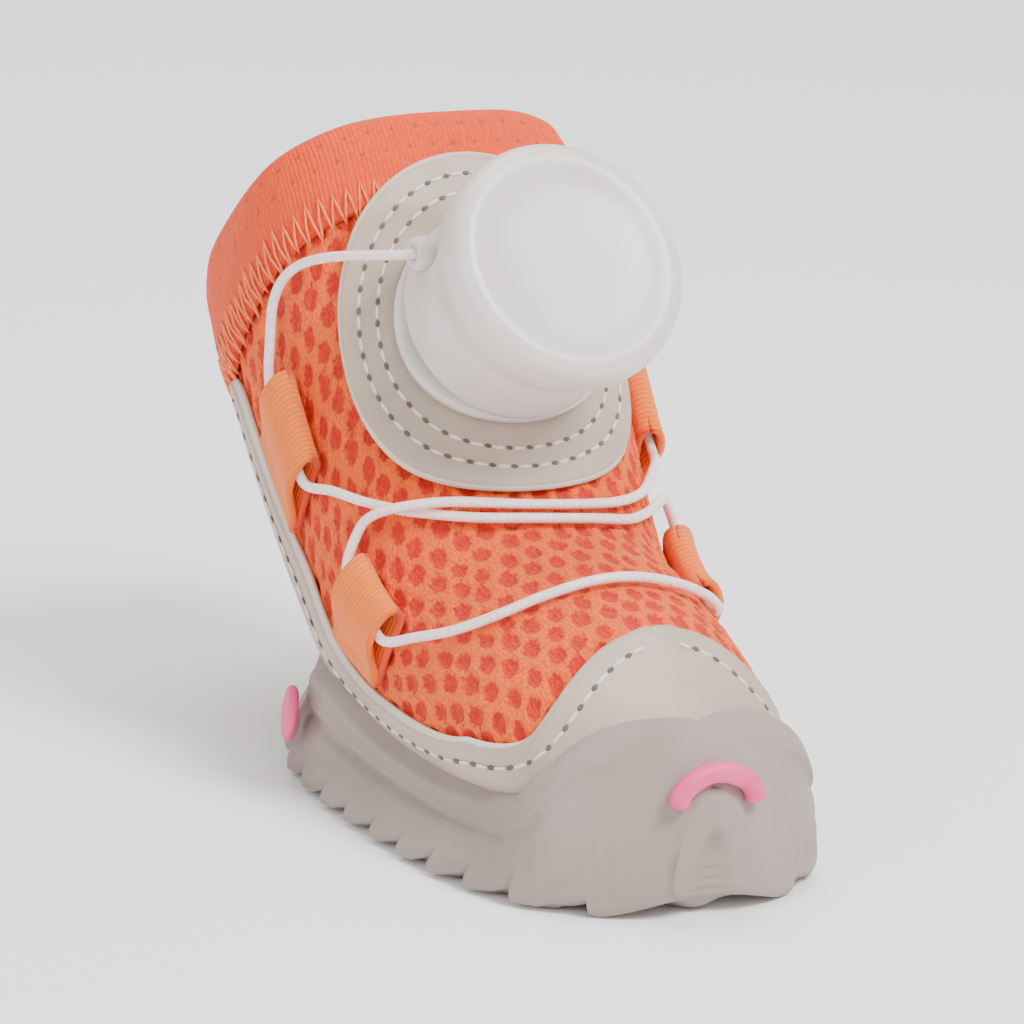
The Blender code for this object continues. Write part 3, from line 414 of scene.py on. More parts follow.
def copies_along(name, pattern, centres, directions, normals):
    """Copies of one small shape, its X along the direction and its Z along the normal, as one piece."""
    count = len(pattern.data.vertices)
    shape = np.zeros(count * 3)
    pattern.data.vertices.foreach_get("co", shape)
    shape = shape.reshape(-1, 3)
    faces = [tuple(face.vertices) for face in pattern.data.polygons]
    points = []
    polygons = []
    for index, (centre, direction, normal) in enumerate(zip(centres, directions, normals)):
        x = direction / np.linalg.norm(direction)
        z = normal - x * np.dot(normal, x)
        z = z / np.linalg.norm(z)
        axes = np.array((x, np.cross(z, x), z))
        points.append(centre + shape @ axes)
        polygons += [tuple(corner + index * count for corner in face) for face in faces]
    mesh = bpy.data.meshes.new(name)
    mesh.from_pydata(np.vstack(points).tolist(), [], polygons)
    made = bpy.data.objects.new(name, mesh)
    bpy.context.scene.collection.objects.link(made)
    return made


def stitch_row(name, path, normals_at, pitch, length, width):
    """Dashes along a path with normals, and the middles, directions and normals of the needle holes."""
    lengths = lengths_along(path)
    count = int(lengths[-1] / pitch)
    places = (np.arange(count) + 0.5) * lengths[-1] / count

    def at(values, where):
        return np.stack([np.interp(where, lengths, values[:, axis]) for axis in range(3)], axis=-1)

    centres = at(path, places)
    directions = at(path, places + pitch * 0.2) - at(path, places - pitch * 0.2)
    normals = at(normals_at, places)
    normals /= np.linalg.norm(normals, axis=1, keepdims=True)
    pattern = bead(6, length, width, width * 0.72)
    dashes = copies_along(name, pattern, centres, directions, normals)
    bpy.data.objects.remove(pattern, do_unlink=True)
    holes_at = at(path, places + 0.5 * lengths[-1] / count)
    return dashes, (holes_at, directions, normals)


# Materials

# Sockets of a colour mix by number: its factor, its two colours and its result
FACTOR, FIRST, SECOND, RESULT = 0, 6, 7, 2
MIX = "ShaderNodeMix"
RAMP = "ShaderNodeValToRGB"
NOISE = "ShaderNodeTexNoise"
RANGE = "ShaderNodeMapRange"


def linear(colour):
    """An sRGB hex value as linear red, green and blue."""
    values = [int(colour[start:start + 2], 16) / 255.0 for start in (0, 2, 4)]
    return tuple(v / 12.92 if v <= 0.04045 else ((v + 0.055) / 1.055) ** 2.4 for v in values) + (1.0,)


def set_sockets(tree, made, inputs):
    """Gives sockets their links, numbers or hex colours, by name or number."""
    for key, value in inputs.items():
        if isinstance(value, bpy.types.NodeSocket):
            tree.links.new(value, made.inputs[key])
        elif isinstance(value, str):
            made.inputs[key].default_value = linear(value)
        else:
            made.inputs[key].default_value = value


def node(tree, kind, inputs, passes, stops=(), **settings):
    """Adds a node with its settings, sockets and grey ramp stops, and gives the socket that it passes on."""
    made = tree.nodes.new(kind)
    for key, value in settings.items():
        setattr(made, key, value)
    set_sockets(tree, made, inputs)
    if stops:
        for element, (place, grey) in zip(made.color_ramp.elements, stops):
            element.position = place
            element.color = (grey, grey, grey, 1.0)
    return made.outputs[passes]


def new_look(name, sockets):
    look = bpy.data.materials.new(name)
    look.use_nodes = True
    tree = look.node_tree
    shader = tree.nodes["Principled BSDF"]
    set_sockets(tree, shader, sockets)
    return look, tree, shader


def air_mesh():
    """Knitted polyester air mesh: a matte fuzzy ground, darkened by painted shade in the holes, which open to
    the layer beneath.
    """
    look, tree, shader = new_look("knitted_air_mesh", {
        "Roughness": 0.88, "Sheen Weight": 0.12, "Sheen Roughness": 0.6, "Sheen Tint": "FFD9B0"})
    hole = node(tree, "ShaderNodeAttribute", {}, "Fac", attribute_name="hole")
    uv = node(tree, "ShaderNodeUVMap", {}, "UV", uv_map="UVMap")
    # Knit loops are about 0.45 mm across
    loops = node(tree, "ShaderNodeTexVoronoi", {"Vector": uv, "Scale": 2.2, "Randomness": 0.75},
                 "Distance", voronoi_dimensions="2D")
    fuzz = node(tree, NOISE, {"Vector": uv, "Scale": 1.4, "Detail": 4.0, "Roughness": 0.7},
                "Fac", noise_dimensions="2D")
    slow = node(tree, NOISE, {"Vector": uv, "Scale": 0.12, "Detail": 2.0}, "Fac", noise_dimensions="2D")
    between_loops = node(tree, RAMP, {"Fac": loops}, "Color", ((0.05, 0.0), (0.75, 1.0)))
    knit_colour = node(tree, MIX, {FACTOR: between_loops, FIRST: "FC7318", SECOND: "EC4A08"},
                       RESULT, data_type="RGBA")
    drift = node(tree, RAMP, {"Fac": slow}, "Color", ((0.40, 0.0), (0.62, 0.55)))
    ground = node(tree, MIX, {FACTOR: drift, FIRST: knit_colour, SECOND: "F4580C"},
                  RESULT, data_type="RGBA")
    mottle = node(tree, RAMP, {"Fac": fuzz}, "Color", ((0.35, 0.0), (0.65, 1.0)))
    # Painted shade in the holes: a mottled dark red stands for the shade down each hole
    hole_shade_colour = node(tree, MIX, {FACTOR: mottle, FIRST: "C21600", SECOND: "DE2800"},
                   RESULT, data_type="RGBA")
    edge = node(tree, "ShaderNodeMath", {0: hole, 1: fuzz}, 0, operation="ADD")
    inside = node(tree, RAMP, {"Fac": edge}, "Color", ((0.42, 1.0), (0.62, 0.0)))
    colour = node(tree, MIX, {FACTOR: inside, FIRST: ground, SECOND: hole_shade_colour}, RESULT, data_type="RGBA")
    height = node(tree, "ShaderNodeMath", {0: loops, 1: fuzz}, 0, operation="SUBTRACT")
    relief = node(tree, "ShaderNodeBump", {"Height": height, "Distance": 0.00025, "Strength": 0.8}, "Normal")
    set_sockets(tree, shader, {"Base Color": colour, "Normal": relief})
    return look


def fine_knit():
    """Brushed stretch knit of the collar: finer and plainer than the mesh, with small pinholes darkened by
    painted shade.
    """
    look, tree, shader = new_look("brushed_stretch_knit", {
        "Roughness": 0.85, "Sheen Weight": 0.15, "Sheen Roughness": 0.5, "Sheen Tint": "FFC8A0"})
    uv = node(tree, "ShaderNodeUVMap", {}, "UV", uv_map="UVMap")
    # Wales are about 0.5 mm apart
    wales = node(tree, "ShaderNodeTexWave",
                 {"Vector": uv, "Scale": 0.62, "Distortion": 3.0, "Detail": 2.0, "Detail Scale": 2.5},
                 "Fac", wave_type="BANDS", bands_direction="Y")
    fuzz = node(tree, NOISE, {"Vector": uv, "Scale": 1.8, "Detail": 4.0, "Roughness": 0.65},
                "Fac", noise_dimensions="2D")
    pin = node(tree, "ShaderNodeAttribute", {}, "Fac", attribute_name="pinhole")
    knit_colour = node(tree, MIX, {FACTOR: wales, FIRST: "EC4204", SECOND: "F4540C"},
                       RESULT, data_type="RGBA")
    mottle = node(tree, RAMP, {"Fac": fuzz}, "Color", ((0.35, 0.0), (0.70, 0.7)))
    ground = node(tree, MIX, {FACTOR: mottle, FIRST: knit_colour, SECOND: "E03602"},
                  RESULT, data_type="RGBA")
    # Painted shade darkens the pinholes
    inside = node(tree, RAMP, {"Fac": pin}, "Color", ((0.35, 0.0), (0.95, 0.75)))
    colour = node(tree, MIX, {FACTOR: inside, FIRST: ground, SECOND: "A8300F"}, RESULT, data_type="RGBA")
    height = node(tree, "ShaderNodeMath", {0: wales, 1: fuzz}, 0, operation="ADD")
    relief = node(tree, "ShaderNodeBump", {"Height": height, "Distance": 0.00012, "Strength": 0.7}, "Normal")
    set_sockets(tree, shader, {"Base Color": colour, "Normal": relief})
    return look


def coated_fabric():
    """Microfibre with a polyurethane coat: satin greige with a faint leather grain, pale where it is cut."""
    look, tree, shader = new_look("coated_microfibre", {"Specular IOR Level": 0.45})
    cut = node(tree, "ShaderNodeAttribute", {}, "Fac", attribute_name="cut")
    place = node(tree, "ShaderNodeTexCoord", {}, "Object")
    # Grain cells are about 0.5 mm
    grain = node(tree, "ShaderNodeTexVoronoi", {"Vector": place, "Scale": 2000.0, "Randomness": 1.0},
                 "Distance", feature="SMOOTH_F1")
    cloud = node(tree, NOISE, {"Vector": place, "Scale": 90.0, "Detail": 3.0}, "Fac")
    drift = node(tree, RAMP, {"Fac": cloud}, "Color", ((0.35, 0.0), (0.68, 1.0)))
    ground = node(tree, MIX, {FACTOR: drift, FIRST: "B3A08E", SECOND: "C0AE9D"}, RESULT, data_type="RGBA")
    at_cut = node(tree, RAMP, {"Fac": cut}, "Color", ((0.45, 0.0), (0.60, 1.0)))
    colour = node(tree, MIX, {FACTOR: at_cut, FIRST: ground, SECOND: "DDD0C3"}, RESULT, data_type="RGBA")
    rough = node(tree, RANGE, {"Value": cloud, "To Min": 0.40, "To Max": 0.56}, "Result")
    relief = node(tree, "ShaderNodeBump", {"Height": grain, "Distance": 0.00006, "Strength": 0.5}, "Normal")
    set_sockets(tree, shader, {"Base Color": colour, "Roughness": rough, "Normal": relief})
    return look


def moulded_rubber():
    """Natural rubber compound from a blasted mould: matte and softly shaded, its tone drifting at random."""
    look, tree, shader = new_look("moulded_rubber", {"Specular IOR Level": 0.4})
    place = node(tree, "ShaderNodeTexCoord", {}, "Object")
    cloud = node(tree, NOISE, {"Vector": place, "Scale": 60.0, "Detail": 3.0}, "Fac")
    # The blasted face has a grain of about 0.3 mm
    grain = node(tree, NOISE, {"Vector": place, "Scale": 3300.0, "Detail": 2.0}, "Fac")
    drift = node(tree, RAMP, {"Fac": cloud}, "Color", ((0.35, 0.0), (0.70, 1.0)))
    colour = node(tree, MIX, {FACTOR: drift, FIRST: "97867E", SECOND: "A4948C"}, RESULT, data_type="RGBA")
    rough = node(tree, RANGE, {"Value": grain, "To Min": 0.52, "To Max": 0.68}, "Result")
    relief = node(tree, "ShaderNodeBump", {"Height": grain, "Distance": 0.00003, "Strength": 0.35}, "Normal")
    set_sockets(tree, shader, {"Base Color": colour, "Roughness": rough, "Normal": relief})
    return look


def ribbed_webbing():
    """Narrow elastic webbing: lighter orange, with a rib each half millimetre, and painted shade in its
    channel.
    """
    look, tree, shader = new_look("ribbed_webbing", {"Roughness": 0.82, "Sheen Weight": 0.1})
    uv = node(tree, "ShaderNodeUVMap", {}, "UV", uv_map="UVMap")
    ribs = node(tree, "ShaderNodeTexWave", {"Vector": uv, "Scale": 0.60, "Distortion": 0.8, "Detail": 1.0},
                "Fac", wave_type="BANDS", bands_direction="X")
    fuzz = node(tree, NOISE, {"Vector": uv, "Scale": 1.6, "Detail": 3.0}, "Fac", noise_dimensions="2D")
    channel_shade = node(tree, "ShaderNodeAttribute", {}, "Fac", attribute_name="channel_shade")
    ribbed = node(tree, MIX, {FACTOR: ribs, FIRST: "F0680A", SECOND: "FA8418"}, RESULT, data_type="RGBA")
    mottle = node(tree, RAMP, {"Fac": fuzz}, "Color", ((0.40, 0.0), (0.70, 0.6)))
    ground = node(tree, MIX, {FACTOR: mottle, FIRST: ribbed, SECOND: "F07210"}, RESULT, data_type="RGBA")
    # Painted shade in the loop's channel: darker red-orange at its ends, on the sheet next to the boot
    colour = node(tree, MIX, {FACTOR: channel_shade, FIRST: ground, SECOND: "DE4014"}, RESULT, data_type="RGBA")
    height = node(tree, "ShaderNodeMath", {0: ribs, 1: fuzz}, 0, operation="ADD")
    relief = node(tree, "ShaderNodeBump", {"Height": height, "Distance": 0.00015, "Strength": 0.6}, "Normal")
    set_sockets(tree, shader, {"Base Color": colour, "Normal": relief})
    return look


def milky_plastic():
    """Moulded translucent polypropylene: light enters, scatters and comes out milk white."""
    look, tree, shader = new_look("milky_polypropylene", {
        "IOR": 1.49, "Subsurface Weight": 0.45, "Subsurface Scale": 0.004,
        "Subsurface Radius": (1.0, 0.85, 0.75), "Transmission Weight": 0.08})
    place = node(tree, "ShaderNodeTexCoord", {}, "Object")
    cloud = node(tree, NOISE, {"Vector": place, "Scale": 110.0, "Detail": 2.0}, "Fac")
    drift = node(tree, RAMP, {"Fac": cloud}, "Color", ((0.35, 0.0), (0.65, 1.0)))
    colour = node(tree, MIX, {FACTOR: drift, FIRST: "DDD5D0", SECOND: "E6DFDB"}, RESULT, data_type="RGBA")
    rough = node(tree, RANGE, {"Value": cloud, "To Min": 0.24, "To Max": 0.38}, "Result")
    set_sockets(tree, shader, {"Base Color": colour, "Roughness": rough})
    return look


def grained_look(name, first, second, grain, relief_height, sockets):
    """A finish that changes between two near colours; the grain is the settings of its noise."""
    look, tree, shader = new_look(name, sockets)
    place = node(tree, "ShaderNodeTexCoord", {}, "Object")
    cloud = node(tree, NOISE, dict(grain, Vector=place), "Fac")
    drift = node(tree, RAMP, {"Fac": cloud}, "Color", ((0.35, 0.0), (0.65, 1.0)))
    colour = node(tree, MIX, {FACTOR: drift, FIRST: first, SECOND: second}, RESULT, data_type="RGBA")
    relief = node(tree, "ShaderNodeBump", {"Height": cloud, "Distance": relief_height, "Strength": 0.5},
                  "Normal")
    set_sockets(tree, shader, {"Base Color": colour, "Normal": relief})
    return look


def coated_cord():
    """Braided cord with a smooth coat, off-white with a faint twist; its pinkish tint is a painted
    reflection.
    """
    braid = {"Scale": 2600.0, "Detail": 1.0}
    return grained_look("coated_braided_cord", "EFDAD3", "FCF1EC", braid, 0.00005, {
        "Roughness": 0.45, "Specular IOR Level": 0.5, "Subsurface Weight": 0.2, "Subsurface Scale": 0.0008})


def plain_look(name, first, second, scale, sockets):
    """A plain finish with a fine grain."""
    grain = {"Scale": scale, "Detail": 4.0, "Roughness": 0.6}
    return grained_look(name, first, second, grain, 0.00006, sockets)


# Cloth upper

# Holes of the mesh in millimetres
HOLE_PITCH = 2.9
HOLE_ROW = 2.55
HOLE_HALF_LENGTH = 1.10
HOLE_HALF_WIDTH = 0.88
HOLE_DEPTH = 0.35
# How far holes stray from their rows, and how much their sizes differ
HOLE_STRAY = 0.55
HOLE_VARIETY = 0.25


def scatter(row, column, row_turn, column_turn, spread):
    """A number from -0.5 to 0.5 for each row and column, the same on each run."""
    value = np.sin(row * row_turn + column * column_turn) * spread
    return value - np.floor(value) - 0.5


def hole_distance(along, around):
    """Distance in millimetres to the edge of the nearest hole, negative inside it; holes lie in steps."""
    nearest = np.full(along.shape, 9.0)
    row = np.floor(along / HOLE_ROW)
    for shift in (-1, 0, 1, 2):
        this = row + shift
        offset = np.mod(this, 2.0) * 0.5 * HOLE_PITCH
        column = np.round((around - offset) / HOLE_PITCH)
        for step in (-1, 0, 1):
            number = column + step
            first = scatter(this, number, 12.9898, 78.233, 43758.5453)
            second = scatter(this, number, 39.425, 11.135, 24634.6345)
            x = along - this * HOLE_ROW - first * HOLE_STRAY
            x = x / (HOLE_HALF_LENGTH * (1.0 + second * HOLE_VARIETY))
            y = around - offset - number * HOLE_PITCH - second * HOLE_STRAY
            y = y / (HOLE_HALF_WIDTH * (1.0 + first * HOLE_VARIETY))
            nearest = np.minimum(nearest, (np.sqrt(x * x + y * y) - 1.0) * HOLE_HALF_WIDTH)
    return nearest


def upper_grid(start, end, rows, half_columns):
    """Shares and points of the upper between two places along it, open along the opening underneath."""
    u = np.linspace(start, end, rows)
    s = np.linspace(0.0, 1.0, half_columns + 1)
    edge = opening_edge(u)[:, None]
    right = edge + (1.0 - edge) * s[None, :]
    v = np.hstack((2.0 - right, right[:, ::-1][:, 1:]))
    grid_u = np.broadcast_to(u[:, None], v.shape)
    return grid_u, v, skin(grid_u, v, 0.0)


def make_mesh_upper(look):
    """The upper under rand and collar, with its holes pressed in, and slow waves in the cloth."""
    half_columns = 105
    u, v, points = upper_grid(0.155, 0.965, 150, half_columns)
    uv = millimetre_uv(points, half_columns)
    distance = hole_distance(uv[..., 0], uv[..., 1])
    depth = HOLE_DEPTH * MM * ease(0.30, -0.35, distance)
    swell = 0.12 * MM * smooth_noise(uv[..., 0], uv[..., 1], 2.0)
    points = skin(u, v, swell - depth)
    piece = laid_grid("mesh_upper", points, uv, {"hole": np.clip(distance, -1.0, 1.0)})
    merge_doubles(piece)
    wall(piece, UPPER_WALL * 0.8)
    return finish_piece(piece, look, ("upper",))


# Collar band

COLLAR_SWELL = 0.0011
# First row of pinholes, and their places apart, in millimetres
PIN_START = 6.0
PIN_ROW_PITCH = 2.2
PIN_COLUMN_PITCH = 2.6
# Middle share of the band, where its outward directions are taken
COLLAR_MIDDLE = 0.96


def collar_profile():
    """Share along, height and lift beyond the rim, from the outer lower edge over the rim to the inside."""
    outer = [(0.902, 0.0002), (0.904, 0.0008), (0.912, 0.0011), (0.925, 0.0013), (0.940, 0.00145),
             (0.955, 0.0015), (0.970, 0.00145), (0.985, 0.0013), (1.0, 0.0011)]
    rows = [(u, height, 0.0) for u, height in outer]
    turns = np.linspace(0.0, math.pi, 9)[1:-1]
    middle = -0.5 * UPPER_WALL
    reach = 0.5 * UPPER_WALL + COLLAR_SWELL
    rows += [(1.0, middle + reach * math.cos(t), 0.0012 * math.sin(t)) for t in turns]
    inner = [(1.0, -1), (0.985, -1), (0.970, -1), (0.955, -1), (0.940, -1), (0.925, -0.9), (0.920, -0.5)]
    rows += [(u, -UPPER_WALL + COLLAR_SWELL * depth, 0.0) for u, depth in inner]
    return rows


def rim_rise():
    """Direction in which the upper leaves its last section, on the middle plane."""
    top = SECTIONS[-1, 2:4] - SECTIONS[-2, 2:4]
    low = SECTIONS[-1, 0:2] - SECTIONS[-2, 0:2]
    rise = top / np.linalg.norm(top) + low / np.linalg.norm(low)
    return np.array((0.0, rise[0], rise[1])) / np.linalg.norm(rise)


def make_collar_band(look):
    """The band folded over the rim, with soft puffs, puckers at its seam and two rows of pinholes."""
    profile = collar_profile()
    columns = 260
    v = np.linspace(2.0, 0.0, columns + 1)
    rise = rim_rise()
    coarse = np.array([skin(np.full(v.shape, u), v, height) + rise * lift for u, height, lift in profile])
    # Four rows for each row of the profile, so that puffs and pinholes have points to show on
    places = np.arange(len(profile), dtype=float)
    fine = np.linspace(0.0, len(profile) - 1.0, 4 * len(profile))
    points = np.empty((len(fine), len(v), 3))
    for axis in range(3):
        for column in range(len(v)):
            points[:, column, axis] = np.interp(fine, places, coarse[:, column, axis])
    uv = millimetre_uv(points, columns // 2)
    outward = last_normals(np.full(points.shape[:2], COLLAR_MIDDLE), np.broadcast_to(v, points.shape[:2]))
    puff = smooth_noise(uv[..., 0] * 1.3, uv[..., 1] * 0.8, 5.0) * 0.16 * MM
    pucker = 0.10 * MM * np.sin(uv[..., 1] * 2.0 * math.pi / 3.2) * ease(4.0, 1.0, uv[..., 0])
    on_outside = ease(14.0, 9.0, uv[..., 0])
    points = points + outward * ((puff + pucker) * on_outside)[..., None]
    row = np.round((uv[..., 0] - PIN_START) / PIN_ROW_PITCH)
    offset = np.mod(row, 2.0) * 0.5 * PIN_COLUMN_PITCH
    column = np.round((uv[..., 1] - offset) / PIN_COLUMN_PITCH)
    reach = np.hypot(uv[..., 0] - PIN_START - row * PIN_ROW_PITCH,
                     uv[..., 1] - offset - column * PIN_COLUMN_PITCH)
    pin = ease(0.55, 0.10, reach) * ((row >= 0) & (row <= 1))
    points = points - outward * (pin * 0.12 * MM)[..., None]
    # The pinhole field also darkens the pinholes with painted shade in the knit's colour
    piece = laid_grid("collar_knit", points, uv, {"pinhole": pin})
    merge_doubles(piece)
    modify(piece, "SOLIDIFY", thickness=0.0007, offset=-1.0)
    return finish_piece(piece, look, ("collar_band",))


# Height of the zigzag thread over the upper, from the mesh up over the band's edge
ZIGZAG_SHARES = (0.893, 0.900, 0.904, 0.912, 0.930)
ZIGZAG_HEIGHTS = (0.00035, 0.00055, 0.00115, 0.00135, 0.00150)


def make_collar_stitch(look):
    """Zigzag thread that lies over the band's lower edge, all round the boot."""
    v = np.linspace(0.0, 2.0, 401)
    base = skin(np.full(v.shape, 0.912), v, 0.0012)
    lengths = lengths_along(base)
    teeth = 84
    places = np.linspace(0.0, lengths[-1], teeth * 2 + 1)[:-1]
    turns = np.interp(places, lengths, v)
    even = np.arange(len(places)) % 2 == 0
    # The rows of the zigzag are about 3 mm apart
    unevenness = 0.003 * np.sin(np.arange(len(places)) * 2.3)
    shares = np.where(even, ZIGZAG_SHARES[0], ZIGZAG_SHARES[-1]) + unevenness
    following = np.roll(turns, -1)
    following[-1] += 2.0
    dense = []
    for step in np.linspace(0.0, 1.0, 5)[:-1]:
        u = shares + (np.roll(shares, -1) - shares) * step
        v = turns + (following - turns) * step
        height = np.interp(u, ZIGZAG_SHARES, ZIGZAG_HEIGHTS)
        dense.append(skin(u, v, height))
    dense = np.stack(dense, axis=1).reshape(-1, 3)
    piece = thread("collar_zigzag", dense, 0.00014, sides=1, closed=True)
    return finish_piece(piece, look)


# Rand

def rand_row_values(rows):
    """The rand's edges at even places along it, smoothed through the table."""
    places = np.arange(len(RAND_ROWS), dtype=float)
    fine = np.linspace(0.0, len(RAND_ROWS) - 1.0, rows)
    padded = np.vstack((2 * RAND_ROWS[0] - RAND_ROWS[1], RAND_ROWS, 2 * RAND_ROWS[-1] - RAND_ROWS[-2]))
    index = np.minimum(fine.astype(int), len(RAND_ROWS) - 2)
    values = curve_between(*(padded[index + k] for k in range(4)), (fine - index)[:, None])
    values[:, 3] = np.minimum(values[:, 3], 1.0)
    values[fine <= RAND_TOE_ROWS, 3] = 1.0
    straight = np.interp(fine, places, RAND_ROWS[:, 1])
    values[:, 1] = np.where(straight == 0.0, 0.0, np.maximum(values[:, 1], 0.0))
    return values


def rand_places(values, shares):
    """Shares along and around for each row of the rand, at shares of its width from the lower edge."""
    low_u, low_v, top_u, top_v = (values[:, k:k + 1] for k in range(4))
    shares = np.asarray(shares)[None, :]
    return low_u + (top_u - low_u) * shares ** RAND_BEND, low_v + (top_v - low_v) * shares


def make_rand(look):
    """The rand with a thin rounded topline, a dent along its seam and a pale cut edge."""
    columns = 64
    values = rand_row_values(RAND_ROW_COUNT)
    s = np.linspace(0.0, 1.0, columns + 1) ** 0.8
    u, v = rand_places(values, s)
    flat = skin(u, v, 0.0)
    flat[:, 0, 0] = np.where(values[:, 1] == 0.0, 0.0, flat[:, 0, 0])
    from_top = lengths_along(np.swapaxes(flat, 0, 1)).T
    from_top = (from_top[:, -1:] - from_top) / MM
    # Along the toe cap the topline starts at the apex row, so rows ahead of it have no cut edge
    line = flat[APEX_ROW:, -1]
    for index in range(APEX_ROW):
        reach = np.linalg.norm(flat[index][:, None, :] - line[None, :, :], axis=2)
        from_top[index] = np.min(reach, axis=1) / MM
    seam_dent = 0.00012 * np.exp(-((from_top - 2.5) / 0.5) ** 2)
    height = RAND_HEIGHT - 0.0007 * ease(0.75, 0.0, from_top) - seam_dent
    points = skin(u, v, height)
    centred = (v >= 1.0 - 1e-9) | (v <= 1e-9)
    points[..., 0] = np.where(centred, 0.0, points[..., 0])
    points = points[:, ::-1]
    piece = laid_grid("rand_cover", points, None, {"cut": ease(0.62, 0.30, from_top)[:, ::-1]})
    turned_towards(piece, (1.0, -0.4, 0.2))
    modify(piece, "MIRROR", use_axis=(True, False, False), merge_threshold=MERGE_DISTANCE)
    merge_doubles(piece)
    wall(piece, 0.0006)
    return finish_piece(piece, look, ("rand",))


def rand_line(inset, height):
    """Line on the rand's right half at an even distance inside its topline, with its normals."""
    values = rand_row_values(RAND_ROW_COUNT)
    u, v = rand_places(values, np.linspace(0.0, 1.0, 80))
    points = skin(u, v, height)
    normals = last_normals(u, v)
    line = points[APEX_ROW:, -1]
    inward = np.cross(normals[APEX_ROW:, -1], np.gradient(line, axis=0))
    inward /= np.linalg.norm(inward, axis=1, keepdims=True)
    inward *= np.sign(np.sum(inward * (points[APEX_ROW:, -8] - line)))
    points = points.reshape(-1, 3)
    normals = normals.reshape(-1, 3)
    path = []
    facing = []
    for wanted in line + inward * inset:
        nearest = np.argmin(np.sum((points - wanted) ** 2, axis=1))
        normal = normals[nearest]
        place = wanted - normal * np.dot(wanted - points[nearest], normal)
        if np.min(np.linalg.norm(line - place, axis=1)) > 0.9 * inset:
            path.append(place)
            facing.append(normal)
    path = np.array(path)
    kernel = np.ones(5) / 5.0
    padded = np.vstack((path[:1], path[:1], path, path[-1:], path[-1:]))
    smooth = np.stack([np.convolve(padded[:, axis], kernel, mode="valid") for axis in range(3)], axis=1)
    return smooth, np.array(facing)


def make_rand_stitches(look, hole_shade_look):
    path, normals = rand_line(0.0025, RAND_HEIGHT)
    rows = []
    holes = []
    for sign, label in ((1.0, "right"), (-1.0, "left")):
        side = np.array((sign, 1.0, 1.0))
        dashes, row_holes = stitch_row("rand_stitch_" + label, path * side, normals * side,
                                       0.0025, 0.0017, 0.00042)
        rows.append(dashes)
        holes.append(row_holes)
    piece = joined(rows, "rand_stitches")
    finish_piece(piece, look)
    make_pinhole_shade("rand_pinhole_shade", holes, hole_shade_look, 0.00045)


def make_pinhole_shade(name, groups, look, radius):
    """Dark flat beads where the needle went through, as painted shade of the needle holes, for each row of
    stitches.
    """
    pattern = bead(5, radius * 2, radius * 1.3, radius * 0.35)
    made = [copies_along(name + str(index), pattern, *group) for index, group in enumerate(groups)]
    bpy.data.objects.remove(pattern, do_unlink=True)
    finish_piece(joined(made, name), look)


# Patch under the dial

def patch_seat(u):
    return CLEARANCE + (COLLAR_THICKNESS + CLEARANCE) * ease(COLLAR_START - 0.045, COLLAR_START - 0.008, u)


def patch_ring(ring, columns, half_up, half_side):
    """Shares along and around on one ring of the patch, from the toe side round to the toe side."""
    turn = np.linspace(0.0, 2.0, columns + 1)
    angle = math.pi * turn
    u = share_at_distance(-half_up * ring * np.cos(angle))
    side = half_side * ring * np.abs(np.sin(angle))
    v = np.array([turn_at_distance(share, width) for share, width in zip(u, side)])
    v = np.where(turn > 1.0, 2.0 - v, v)
    return u, v


def make_dial_patch(look, stitch_look, hole_shade_look):
    columns = 120
    rings = np.concatenate((np.linspace(0.12, 0.90, 14), (0.925, 0.950, 0.970, 0.985, 1.0)))
    rows = []
    cut = []
    for ring in rings:
        u, v = patch_ring(ring, columns, PATCH_HALF_HEIGHT, PATCH_HALF_WIDTH)
        inside = (1.0 - ring) * PATCH_HALF_WIDTH / MM
        height = patch_seat(u) + PATCH_THICKNESS * (1.0 - 0.65 * float(ease(0.6, 0.0, inside)))
        dent = 0.00012 * (math.exp(-((inside - 2.4) / 0.4) ** 2) + math.exp(-((inside - 4.3) / 0.4) ** 2))
        rows.append(skin(u, v, height - dent))
        cut.append(np.full(columns + 1, float(ease(0.5, 0.2, inside))))
    piece = laid_grid("dial_patch_cover", np.array(rows), None, {"cut": np.array(cut)})
    merge_doubles(piece)
    turned_towards(piece, dial_frame()[1])
    wall(piece, 0.0006)
    finish_piece(piece, look, ("dial_patch",))
    dashes = []
    holes = []
    for inset in (2.4, 4.3):
        ring = 1.0 - inset * MM / PATCH_HALF_WIDTH
        u, v = patch_ring(ring, 200, PATCH_HALF_HEIGHT, PATCH_HALF_WIDTH)
        path = skin(u, v, patch_seat(u) + PATCH_THICKNESS)
        made, row_holes = stitch_row("patch_stitch", path, last_normals(u, v), 0.0023, 0.0015, 0.0004)
        dashes.append(made)
        holes.append(row_holes)
    finish_piece(joined(dashes, "patch_stitches"), stitch_look)
    make_pinhole_shade("patch_pinhole_shade", holes, hole_shade_look, 0.0004)


# Dial

def dial_frame():
    """Foot of the dial's axis on the patch, the axis, and the direction up the shaft."""
    seat = skin(DIAL_SHARE, 1.0, float(patch_seat(DIAL_SHARE)) + PATCH_THICKNESS)
    axis = last_normals(np.array(DIAL_SHARE), np.array(1.0))
    axis[0] = 0.0
    axis /= np.linalg.norm(axis)
    up = np.cross(axis, np.array((1.0, 0.0, 0.0)))
    return seat, axis, up if up[2] > 0.0 else -up


def port_places(up, axis, seat):
    """Middle of the line through both ports, and how far the ports' mouths lie from it."""
    centre = seat + axis * PORT_HEIGHT + up * PORT_OFFSET_UP
    return centre, math.sqrt(HOUSING_RADIUS ** 2 - PORT_OFFSET_UP ** 2) + PORT_LENGTH * 0.7


